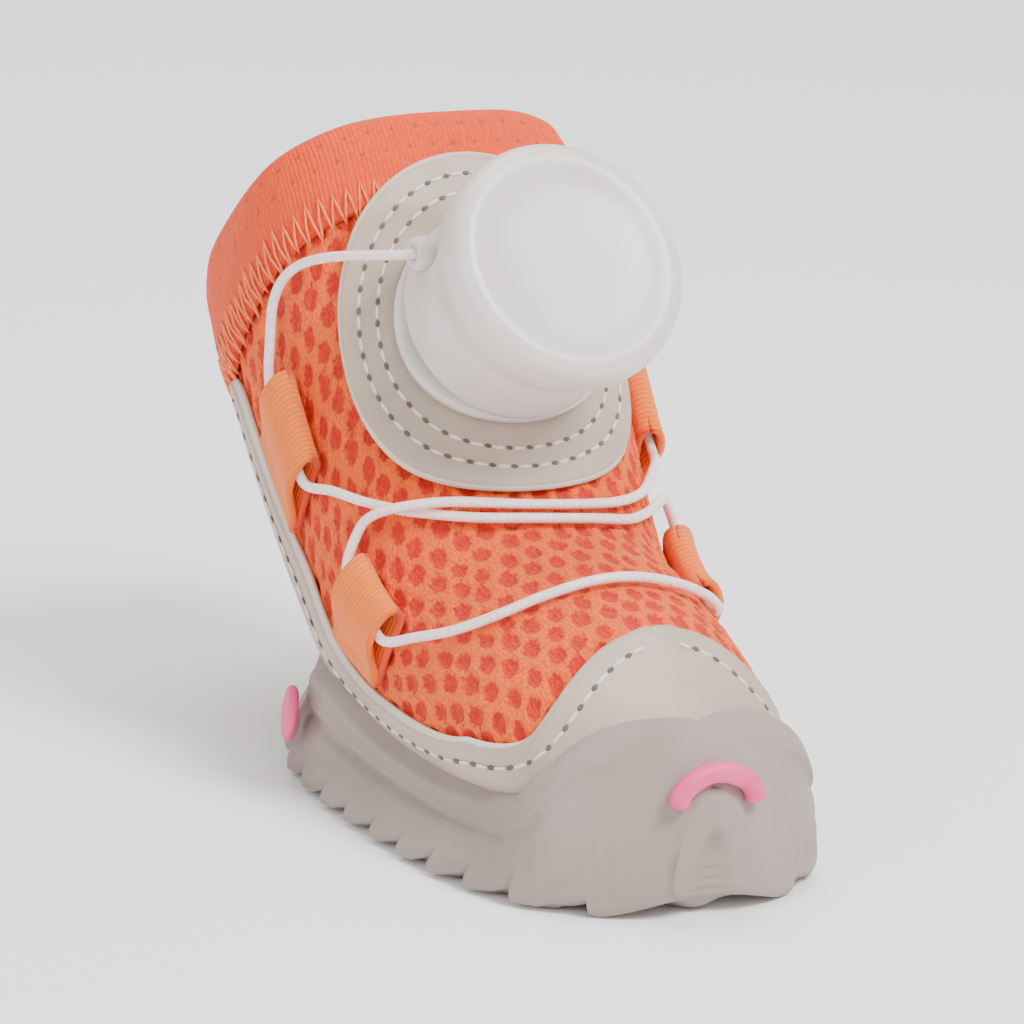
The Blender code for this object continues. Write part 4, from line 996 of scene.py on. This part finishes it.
def spun(name, profile, steps):
    """A turned shape round Z from a profile of radius and height in millimetres, from axis to axis."""
    points = np.array([(radius * MM, 0.0, height * MM) for radius, height in profile])
    mesh = bpy.data.meshes.new(name)
    mesh.from_pydata(points.tolist(), [(k, k + 1) for k in range(len(points) - 1)], [])
    piece = bpy.data.objects.new(name, mesh)
    bpy.context.scene.collection.objects.link(piece)
    only(piece)
    bpy.ops.object.mode_set(mode="EDIT")
    bpy.ops.mesh.select_all(action="SELECT")
    bpy.ops.mesh.spin(steps=steps, angle=2.0 * math.pi, center=(0.0, 0.0, 0.0), axis=(0.0, 0.0, 1.0))
    bpy.ops.mesh.select_all(action="SELECT")
    bpy.ops.mesh.remove_doubles(threshold=0.000002)
    bpy.ops.mesh.normals_make_consistent(inside=False)
    bpy.ops.object.mode_set(mode="OBJECT")
    modify(piece, "SUBSURF", levels=1, render_levels=1)
    return piece


def set_on_axis(piece, base, axis):
    """Moves a shape turned round Z to stand on the base, along the axis."""
    turn = Vector((0.0, 0.0, 1.0)).rotation_difference(Vector(axis))
    piece.data.transform(Matrix.Translation(Vector(base)) @ turn.to_matrix().to_4x4())
    piece.data.update()


# Radius and height in millimetres, from axis to axis; the nozzle is a short pipe with a rounded mouth
KNOB_PROFILE = (
    (0.0, 7.95), (4.0, 7.97), (7.0, 8.05), (8.6, 8.22), (9.6, 8.50), (10.4, 8.72), (11.2, 8.80),
    (12.0, 8.60), (12.55, 8.10), (12.88, 7.30), (13.0, 6.30), (12.95, 5.20), (12.7, 4.20), (12.3, 3.30),
    (11.9, 2.40), (11.6, 1.30), (11.3, 0.45), (10.8, 0.05), (10.0, 0.0), (5.0, 0.0), (0.0, 0.0),
)
HOUSING_PROFILE = (
    (0.0, 8.25), (5.0, 8.25), (9.9, 8.22), (10.5, 8.05), (10.75, 7.5), (10.85, 6.2), (10.95, 4.4),
    (11.05, 2.9), (11.15, 2.1), (11.2, 1.6), (11.2, 1.25), (11.0, 1.1), (5.0, 1.1), (0.0, 1.1),
)
NOZZLE_PROFILE = (
    (0.62, 0.0), (0.62, 4.4), (0.9, 4.75), (1.35, 4.8), (1.7, 4.6), (1.8, 4.2), (1.85, 2.0), (2.1, 0.8),
    (2.3, 0.0),
)
NOZZLE_REACH = 4.6 * MM
# The housing's foot, bent to the boot: share of its radius and height in metres, round its rim
FLANGE_PROFILE = ((0.60, 0.0), (0.97, 0.0), (1.0, 0.0003), (1.0, 0.0010), (0.97, 0.0013), (0.60, 0.0013))


def make_dial(look):
    seat, axis, up = dial_frame()
    knob = spun("dial_knob_cover", KNOB_PROFILE, 64)
    set_on_axis(knob, seat + axis * (HOUSING_HEIGHT + CLEARANCE), axis)
    finish_piece(knob, look, ("dial_knob",))
    body = spun("housing_body", HOUSING_PROFILE, 48)
    set_on_axis(body, seat, axis)
    foot = []
    for ring, height in FLANGE_PROFILE:
        u, v = patch_ring(ring, 96, HOUSING_RADIUS, HOUSING_RADIUS)
        foot.append(skin(u, v, patch_seat(u) + PATCH_THICKNESS + CLEARANCE + height))
    flange = laid_grid("housing_flange", np.array(foot + foot[:1]))
    merge_doubles(flange)
    face_outwards(flange)
    ports = []
    centre, reach = port_places(up, axis, seat)
    for sign in (-1.0, 1.0):
        outward = np.array((sign, 0.0, 0.0))
        port = spun("port", NOZZLE_PROFILE, 20)
        set_on_axis(port, centre + outward * (reach - NOZZLE_REACH), outward)
        ports.append(port)
    housing = joined([body, flange] + ports, "dial_housing_cover")
    finish_piece(housing, look, ("dial_housing",), angle=40)


# Webbing loops

def make_loops(look):
    low = CLEARANCE
    high = CLEARANCE + 2 * WEBBING_THICKNESS + LOOP_CHANNEL
    half = 0.5 * (high - low) - 0.5 * WEBBING_THICKNESS
    shape = (26, 73)
    for level, (start_u, end_u, rear_v, front_v, _, _) in LOOPS.items():
        for side, label in ((-1.0, "left"), (1.0, "right")):
            turn = np.linspace(0.0, 2.0 * math.pi, shape[1])
            # A flattened tube: nearly flat across, round at the front fold, flat against the boot at the rear
            across = np.sign(np.cos(turn)) * np.abs(np.cos(turn)) ** 0.55
            lift = np.sign(np.sin(turn)) * np.abs(np.sin(turn)) ** 0.8
            v = 0.5 * (rear_v + front_v) + 0.5 * (front_v - rear_v - 0.010) * across
            puff = np.clip((v - rear_v) / (front_v - rear_v) * 1.8, 0.28, 1.0)
            height = low + 0.5 * WEBBING_THICKNESS + half * puff * (1.0 + lift)
            u = np.linspace(start_u + 0.001, end_u - 0.001, shape[0])
            grid_v = np.broadcast_to(v, shape)
            grid_u = np.broadcast_to(u[:, None], shape)
            end_share = np.abs(np.linspace(-1.0, 1.0, shape[0]))[:, None]
            heights = np.broadcast_to(height, shape) + 0.00012 * end_share ** 4 * np.sign(lift)[None, :]
            turned = 2.0 - grid_v if side < 0 else grid_v
            points = skin(grid_u, turned, heights)
            if side > 0:
                points = points[:, ::-1]
            uv = millimetre_uv(points, 0)
            # Painted shade of the channel: the ends of the sheet next to the boot are darkened
            channel_shade = ease(0.80, 1.0, end_share) * (lift < 0.2)[None, :]
            channel_shade = channel_shade[:, ::-1] if side > 0 else channel_shade
            piece = laid_grid("webbing_loop_%s_%s" % (level, label), points, uv, {"channel_shade": channel_shade})
            merge_doubles(piece)
            face_outwards(piece)
            modify(piece, "SOLIDIFY", thickness=WEBBING_THICKNESS, offset=0.0)
            finish_piece(piece, look, ("loop_%s_%s" % (level, label),))


# Lace

def loop_run(level, side, downwards):
    """The lace's places through one loop, and a little beyond it at both ends."""
    start_u, end_u, _, _, start_v, end_v = LOOPS[level]
    height = CLEARANCE + WEBBING_THICKNESS + LOOP_CHANNEL * 0.5
    run = []
    for share in (-0.06, 0.33, 0.67, 1.06):
        v = start_v + (end_v - start_v) * share
        run.append((start_u + (end_u - start_u) * share, 2.0 - v if side < 0 else v, height))
    return run[::-1] if downwards else run


def lace_route():
    """Points from the left port through the four loops to the right port."""
    seat, axis, up = dial_frame()
    centre, reach = port_places(up, axis, seat)
    sideways = np.array((1.0, 0.0, 0.0))
    ends = [centre + sideways * sign * (reach - PORT_LENGTH * 0.6) for sign in (-1.0, 1.0)]
    exits = [centre + sideways * sign * (reach + LACE_EXIT) for sign in (-1.0, 1.0)]
    right_arc = tuple((u, 2.0 - v, height) for u, v, height in LACE_LEFT_ARC[::-1])
    places = list(LACE_LEFT_ARC) + loop_run("upper", -1, True) + list(LACE_UPPER_STRAND)
    places += loop_run("lower", 1, True) + list(LACE_LOWER_STRAND) + loop_run("lower", -1, False)
    places += list(LACE_CROSSING_STRAND) + loop_run("upper", 1, False) + list(right_arc)
    middle = [skin(u, v, height + LACE_RADIUS * 0.35) for u, v, height in places]
    return [ends[0], exits[0]] + middle + [exits[1], ends[1]]


def make_lace(look):
    piece = thread("lace_cord", smooth_route(lace_route(), 0.0006), LACE_RADIUS, sides=3)
    return finish_piece(piece, look, ("lace",))


# Rubber sole

def sole_half_width(y):
    front = np.clip((BALL_Y - y) / (SOLE_TOE_REACH + BALL_Y), 0.0, 1.0)
    ahead = SOLE_HALF_WIDTH * np.sqrt(np.maximum(1.0 - front ** TOE_ROUNDNESS, 0.0))
    behind = SOLE_HALF_WIDTH * (1.0 - 0.10 * ((y - BALL_Y) / (PAD_REAR - BALL_Y)) ** 2)
    return np.where(y < BALL_Y, ahead, behind)


def share_under(y):
    """Share along the last that lies over y, with its toe stretched to the longer toe of the sole."""
    stretch = TOE_STRETCH_START
    share = (stretch - y) / (SOLE_TOE_REACH + stretch)
    target = y if y > stretch else stretch + (SECTIONS[0, 0] - stretch) * share
    shares = np.linspace(0.0, STRAP_START, 400)
    return float(np.interp(target, sections_at(shares)[:, 0], shares))


def rim_turn(u):
    """Share around the boot of the rubber's upper edge."""
    return float(np.interp(u, RIM_EDGE[:, 0], RIM_EDGE[:, 1]))


def seat_height(u):
    """Height of the rubber's inner face over the upper: over the rand first, then down at the heel."""
    over = OVER_RAND + CLEARANCE * (TOE_CLEARANCES - TOE_CLEARANCE_DROP * ease(0.22, 0.36, u))
    return over + (CLEARANCE - over) * ease(HEEL_START, HEEL_START + HEEL_STEP, u)


# Shares of a lug where its steep front ends and where its slope meets the floor
STEP_SHARE = 0.07
LUG_FLAT = 0.62
BOTTOM_POINTS = 44
SIDE_POINTS = 30
ROW_POINTS = BOTTOM_POINTS + SIDE_POINTS
# Shares of the half width at which the toe's front face has its rows
FRONT_PARTS = (0.0, 0.08, 0.16, 0.25, 0.35, 0.45, 0.56, 0.67, 0.78, 0.89)
# Shares of a lug at which the tread has its rows
LUG_PARTS = (0.0, 0.035, 0.07, 0.10, 0.17, 0.25, 0.33, 0.41, 0.49, 0.57, 0.62, 0.70, 0.78, 0.86, 0.93, 0.985)
LUG_PITCH = (PAD_REAR - PAD_FRONT) / LUG_COUNT
# Rows behind the pad: distance from it, lift in lug steps, tooth, and share of the rim's bow
PAD_REAR_ROWS = ((0.0008, 2.2, 0.0, 0.6), (0.0014, 1.4, 0.3, 0.85), (0.0022, 0.9, 0.6, 1.0),
                 (0.0030, 0.9, 0.6, 1.0), (0.0036, 1.1, 0.6, 1.0))
STRAP_RIB_HEIGHT = 0.0006
STRAP_RIB_PITCH = 0.030


def lug_shape(y):
    """Lift of the tread and reach of the tooth at y, and how far back in its lug y lies."""
    if y <= PAD_FRONT:
        return 0.0, 0.0, 1.0
    place = ((y - PAD_FRONT) / LUG_PITCH) % 1.0
    lift = LUG_STEP * max(1.0 - max(place - STEP_SHARE, 0.0) / (LUG_FLAT - STEP_SHARE), 0.0)
    tooth = min(max(place - STEP_SHARE, 0.0) / (1.0 - STEP_SHARE), 1.0) ** 0.8
    return lift, tooth, place


def rim_open(rim_v):
    """0 where the rubber closes over the toe, 1 where it has an upper edge."""
    return ease(1.0, 0.85, rim_v)


def tread_row(y, bow, extra_lift=0.0, flat_tooth=None):
    """One row of the tread, from the middle out and up the side to the rubber's upper edge."""
    u = share_under(y)
    half_width = max(float(sole_half_width(y)), LEAST_HALF_WIDTH)
    lift, tooth, place = lug_shape(y)
    if flat_tooth is not None:
        lift, tooth = 0.0, flat_tooth
    share = np.linspace(0.0, 1.0, BOTTOM_POINTS + 1)
    wave = LUG_WAVE * 0.5 * (1.0 - np.cos(2.0 * math.pi * share)) * (1.0 - bow)
    wave = wave + RIM_BOW * (1.0 - share ** 2) * bow
    spring = TOE_SPRING * max((PAD_FRONT - y) / (SOLE_TOE_REACH + PAD_FRONT), 0.0) ** 1.6
    x = half_width * share
    # Fine ribs across the toe-side slope of each lug's crest, 1.3 mm apart
    ribs = 0.00018 * (0.5 + 0.5 * np.cos(2.0 * math.pi * x / 0.0013)) * float(ease(0.25, 0.45, place)) \
        * float(ease(0.80, 0.62, place)) * (y > PAD_FRONT) * (bow == 0.0)
    # The tread's edge is rounded off towards the side
    round_off = 0.0005 * ease(0.93, 1.0, share)
    bottom = np.stack((x, y + wave * float(ease(-SOLE_TOE_REACH, PAD_FRONT, y)),
                       np.full(x.shape, spring + lift + extra_lift) + ribs + round_off), axis=-1)
    edge = bottom[-1] - np.array((0.0, 0.0, lift))
    rim_v = rim_turn(u)
    thick = float(seat_height(u)) + RIM_THICKNESS + (STRAP_THICKNESS - RIM_THICKNESS) * float(
        ease(0.62, STRAP_START, u))
    swollen = RIM_SWELL + (TOE_SWELL - RIM_SWELL) * (1.0 - float(ease(0.12, 0.30, u)))
    below = skin(u, rim_v * BELOW_RIM, thick + RIM_THICKNESS * swollen)
    rim = skin(u, rim_v, thick - RIM_DROP * rim_open(rim_v))
    swell = edge + np.array(SIDE_BULGE)
    t = np.linspace(0.0, 1.0, SIDE_POINTS + 1)[1:, None]
    side = (1 - t) ** 3 * edge + 3 * (1 - t) ** 2 * t * swell + 3 * (1 - t) * t ** 2 * below + t ** 3 * rim
    # The lugs stand out of the smooth side only near the floor
    lug = np.array((tooth * TOOTH_DEPTH, 0.0, lift))
    side = side + lug * (1.0 - ease(0.0, TOOTH_SHARE, t))
    bottom[-1, 0] += lug[0]
    if rim_v >= 1.0 - 1e-9:
        side[-1, 0] = 0.0
    return u, np.vstack((bottom, side))


def strap_row(u, rib):
    """One row of the heel strap, raised by a rib in its middle and rounded off at its edge."""
    share = np.linspace(0.0, 1.0, ROW_POINTS + 1)
    height = float(seat_height(u)) + STRAP_THICKNESS + rib * STRAP_RIB_HEIGHT * (1.0 - share ** 4)
    height = height - 0.0006 * ease(0.94, 1.0, share)
    return skin(np.full(share.shape, u), rim_turn(u) * share, height)


def inner_row(u):
    """One row of the rubber's inner face; its edge lies on the rand where the rubber has an upper edge."""
    edge_v = rim_turn(u)
    share = np.linspace(0.0, 1.0, ROW_POINTS + 1)
    seat = float(seat_height(u))
    height = seat - max(seat - RIM_SEAT, 0.0) * ease(0.93, 1.0, share) * rim_open(edge_v)
    return skin(np.full(share.shape, u), edge_v * share, height)


def sole_y_places():
    """Rows along the tread, closer together at each lug's steep front and at the toe."""
    places = list(-SOLE_TOE_REACH + (SOLE_TOE_REACH + PAD_FRONT) * np.linspace(0.0, 1.0, 15)[:-1] ** 1.3)
    for lug in range(LUG_COUNT):
        places += [PAD_FRONT + (lug + share) * LUG_PITCH for share in LUG_PARTS]
    return places


def make_outsole(look):
    """Toe, tread, heel and strap as one closed skin of rows, outside and inside, on one half and mirrored."""
    outer = []
    inner = []
    shares = []

    def add(u, points):
        shares.append(u)
        outer.append(points)
        inner.append(inner_row(u))

    u, points = tread_row(-SOLE_TOE_REACH, 0.0)
    # The toe's front face, from the middle plane to the first row of the tread
    for part in FRONT_PARTS:
        narrow = np.array((part, 1.0, 1.0))
        add(u, points * narrow)
        inner[-1] = inner[-1] * narrow
    for y in sole_y_places():
        add(*tread_row(y, 0.0))
    for run, steps, tooth, bow in PAD_REAR_ROWS:
        add(*tread_row(PAD_REAR + run, bow, LUG_STEP * steps, tooth))
    behind = outer[-1]
    for u in np.linspace(0.712, STRAP_START, 7):
        share = float(ease(0.700, STRAP_START + 0.004, u))
        strap = strap_row(u, 0.0)
        fades = np.linspace(1.0, 0.0, len(strap))[:, None]
        rise = 0.5 * (strap[0] - behind[0]) * share
        add(u, (behind + rise * fades) * (1.0 - share) + strap * share)
    for u in np.linspace(STRAP_START, STRAP_END, 46)[1:]:
        rib = 0.5 + 0.5 * math.cos(2.0 * math.pi * (u - STRAP_START) / STRAP_RIB_PITCH + math.pi)
        add(u, strap_row(u, rib * float(ease(STRAP_END, STRAP_END - 0.02, u))))
    outer = shaped_sole(np.array(outer), np.array(shares))
    inner = np.array(inner)[:, ::-1]
    rows = np.concatenate((outer, inner), axis=1)
    rows[:, (0, -1), 0] = 0.0
    # The strap's last row closes on itself
    middle = 0.5 * (rows[-1] + rows[-1, ::-1])
    rows = np.concatenate((rows, middle[None]))
    piece = laid_grid("rubber_sole", rows)
    drop_middle_faces(piece)
    modify(piece, "MIRROR", use_axis=(True, False, False), merge_threshold=MERGE_DISTANCE)
    merge_doubles(piece)
    face_outwards(piece)
    return finish_piece(piece, look, ("outsole",), angle=50)


def drop_middle_faces(piece):
    """Removes the faces that lie in the plane x = 0, where the two halves join."""
    mesh = piece.data
    bpy.context.scene.tool_settings.mesh_select_mode = (False, False, True)
    for face in mesh.polygons:
        face.select = all(abs(mesh.vertices[corner].co.x) < 1e-6 for corner in face.vertices)
    only(piece)
    bpy.ops.object.mode_set(mode="EDIT")
    bpy.ops.mesh.delete(type="FACE")
    bpy.ops.object.mode_set(mode="OBJECT")


def shaped_sole(points, shares):
    """Adds the raised band under the upper edge and the notch and ribs of the toe."""
    x, y, z = (points[..., axis] for axis in range(3))
    index = np.arange(x.shape[1])[None, :]
    t = np.clip((index - BOTTOM_POINTS) / SIDE_POINTS, 0.0, 1.0)
    outward = np.stack((x, (y - BALL_Y) * (y < BALL_Y), np.zeros_like(x)), axis=-1)
    length = np.maximum(np.linalg.norm(outward, axis=-1, keepdims=True), 1e-6)
    outward = outward / length
    # Smooth band along the rim, proud by 0.45 mm, with a soft groove below it and a rounded upper edge
    band = 0.00045 * ease(0.66, 0.74, t) - 0.00045 * np.exp(-((t - 0.62) / 0.05) ** 2)
    band = band - 0.0007 * ease(0.95, 1.0, t)
    edges = np.interp(shares, RIM_EDGE[:, 0], RIM_EDGE[:, 1])
    ahead = ease(PAD_REAR + 0.004, PAD_REAR, y) * rim_open(edges)[:, None]
    points = points + outward * (band * ahead * (t > 0.0))[..., None]
    # Lambda notch in the middle of the toe, widest at the tread
    toe = ease(-0.0215, -0.0265, y)
    spread = 0.0046 * (1.0 - np.clip(z / 0.0100, 0.0, 1.0)) + 0.0004
    notch = np.exp(-(x / spread) ** 2 * 1.5) * ease(0.0100, 0.0075, z) * toe
    notch_ribs = 0.5 + 0.5 * np.cos(2.0 * math.pi * z / 0.0011)
    points[..., 1] += (0.0024 - 0.0005 * notch_ribs) * notch
    # Fine ribs along the lower edge of the toe's two lobes
    radius = np.hypot(x, y - BALL_Y)
    angle = np.arctan2(np.abs(x), BALL_Y - y)
    reach = angle * radius
    ribs = 0.5 + 0.5 * np.cos(2.0 * math.pi * reach / 0.0014)
    mask = ease(0.10, 0.20, t) * ease(0.46, 0.34, t) * ease(-0.014, -0.018, y) * (reach > 0.0035)
    points = points + outward * (0.00028 * ribs * mask)[..., None]
    return points


# Insole, marks

def solid_copy(title, name):
    """A merged copy of a node's solid, under its own name."""
    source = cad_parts[title]
    piece = source.copy()
    piece.data = source.data.copy()
    piece.parent = None
    piece.matrix_world = Matrix.Identity(4)
    bpy.context.scene.collection.objects.link(piece)
    named(piece, name)
    merge_doubles(piece, 0.00001)
    return piece


def make_insole(look):
    """Footbed from the solid, with smooth shading up to its edges."""
    piece = solid_copy("insole", "footbed")
    modify(piece, "SUBSURF", levels=2, render_levels=2, subdivision_type="SIMPLE")
    return finish_piece(piece, look, ("insole",), angle=40)


def make_marks(look):
    """Plain raised crescent and plain discs of pink rubber, from the solids, made smooth."""
    for title in ("toe_mark", "disc_left", "disc_right", "disc_rear"):
        piece = solid_copy(title, title + "_soft")
        modify(piece, "SUBSURF", levels=2, render_levels=2)
        if title == "toe_mark":
            # The crescent is plumper than its faceted core
            modify(piece, "DISPLACE", strength=0.00025, mid_level=0.0)
        finish_piece(piece, look, (title,))


# Stage

LOOK_AZIMUTH = -30.5
LOOK_ELEVATION = 16.64
LOOK_ROLL = 4.54
VIEW_WIDTH = 0.1025
LOOK_AT = (0.0, 0.006, 0.028)
# Shift to the right and up in the picture
LOOK_SHIFT = (-0.0069, 0.0046)
LENS = 300.0
SENSOR = 36.0


def make_camera():
    a = math.radians(LOOK_AZIMUTH)
    e = math.radians(LOOK_ELEVATION)
    roll = math.radians(LOOK_ROLL)
    back = Vector((math.sin(a) * math.cos(e), -math.cos(a) * math.cos(e), math.sin(e)))
    flat_right = Vector((math.cos(a), math.sin(a), 0.0))
    flat_up = back.cross(flat_right)
    right = flat_right * math.cos(roll) + flat_up * math.sin(roll)
    up = flat_up * math.cos(roll) - flat_right * math.sin(roll)
    target = Vector(LOOK_AT) + right * LOOK_SHIFT[0] + up * LOOK_SHIFT[1]
    data = bpy.data.cameras.new("camera")
    data.lens = LENS
    data.sensor_width = SENSOR
    camera = bpy.data.objects.new("camera", data)
    bpy.context.scene.collection.objects.link(camera)
    turn = Matrix((right, up, back)).transposed()
    distance = VIEW_WIDTH * LENS / SENSOR
    camera.matrix_world = Matrix.Translation(target + back * distance) @ turn.to_4x4()
    data.clip_start = 0.01
    data.clip_end = 20.0
    bpy.context.scene.camera = camera


def area_light(name, place, target, size, power):
    data = bpy.data.lights.new(name, "AREA")
    data.shape = "DISK"
    data.size = size
    data.energy = power
    light = bpy.data.objects.new(name, data)
    bpy.context.scene.collection.objects.link(light)
    light.location = place
    light.rotation_mode = "QUATERNION"
    light.rotation_quaternion = (Vector(target) - Vector(place)).to_track_quat("-Z", "Y")


def make_stage():
    bpy.ops.object.select_all(action="DESELECT")
    bpy.ops.mesh.primitive_plane_add(size=6.0, location=(0.0, 0.0, 0.0))
    floor = named(bpy.context.active_object, "floor")
    look, tree, shader = new_look("pale_paper", {"Roughness": 0.9})
    place = node(tree, "ShaderNodeTexCoord", {}, "Object")
    cloud = node(tree, NOISE, {"Vector": place, "Scale": 6.0, "Detail": 2.0}, "Fac")
    colour = node(tree, MIX, {FACTOR: cloud, FIRST: "FBFBFB", SECOND: "FEFEFE"}, RESULT, data_type="RGBA")
    set_sockets(tree, shader, {"Base Color": colour})
    floor.data.materials.append(look)
    world = bpy.data.worlds.new("studio")
    world.use_nodes = True
    background = world.node_tree.nodes["Background"]
    background.inputs["Color"].default_value = linear("F6F6F8")
    background.inputs["Strength"].default_value = 0.95
    bpy.context.scene.world = world
    middle = (0.0, 0.01, 0.03)
    area_light("key", (0.22, -0.40, 0.62), middle, 0.30, 6.5)
    area_light("fill", (-0.55, -0.25, 0.30), middle, 0.40, 1.3)
    area_light("top", (0.05, 0.20, 0.65), middle, 0.40, 2.4)


# The boot

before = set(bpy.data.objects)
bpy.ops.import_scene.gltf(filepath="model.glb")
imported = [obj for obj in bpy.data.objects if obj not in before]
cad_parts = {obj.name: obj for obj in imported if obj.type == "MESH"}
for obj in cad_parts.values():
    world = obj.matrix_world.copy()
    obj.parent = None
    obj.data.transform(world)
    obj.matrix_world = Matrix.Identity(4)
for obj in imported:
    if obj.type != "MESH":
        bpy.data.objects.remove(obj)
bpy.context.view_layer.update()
bpy.ops.object.select_all(action="DESELECT")
make_camera()
make_stage()

mesh_cloth = air_mesh()
knit = fine_knit()
coated = coated_fabric()
rubber = moulded_rubber()
webbing = ribbed_webbing()
milky = milky_plastic()
cord = coated_cord()
pink = plain_look("pink_moulded_rubber", "E8407F", "F0588F", 220.0,
                  {"Roughness": 0.5, "Specular IOR Level": 0.45})
footbed = plain_look("grey_felt_footbed", "8F8C8A", "A5A19E", 1500.0,
                     {"Roughness": 0.95, "Sheen Weight": 0.2})
stitch_thread = plain_look("light_polyester_thread", "D9CFC0", "EFE7DA", 2500.0, {"Roughness": 0.6})
# Painted shade of the needle holes
stitch_hole_shade = plain_look("needle_hole_shade", "5C534B", "6E645B", 900.0, {"Roughness": 0.9})
orange_thread = plain_look("orange_polyester_thread", "F0642C", "FF8A4C", 2500.0,
                           {"Roughness": 0.55, "Sheen Weight": 0.2})

make_mesh_upper(mesh_cloth)
make_collar_band(knit)
make_collar_stitch(orange_thread)
make_rand(coated)
make_rand_stitches(stitch_thread, stitch_hole_shade)
make_dial_patch(coated, stitch_thread, stitch_hole_shade)
make_dial(milky)
make_loops(webbing)
make_lace(cord)
make_outsole(rubber)
make_insole(footbed)
make_marks(pink)
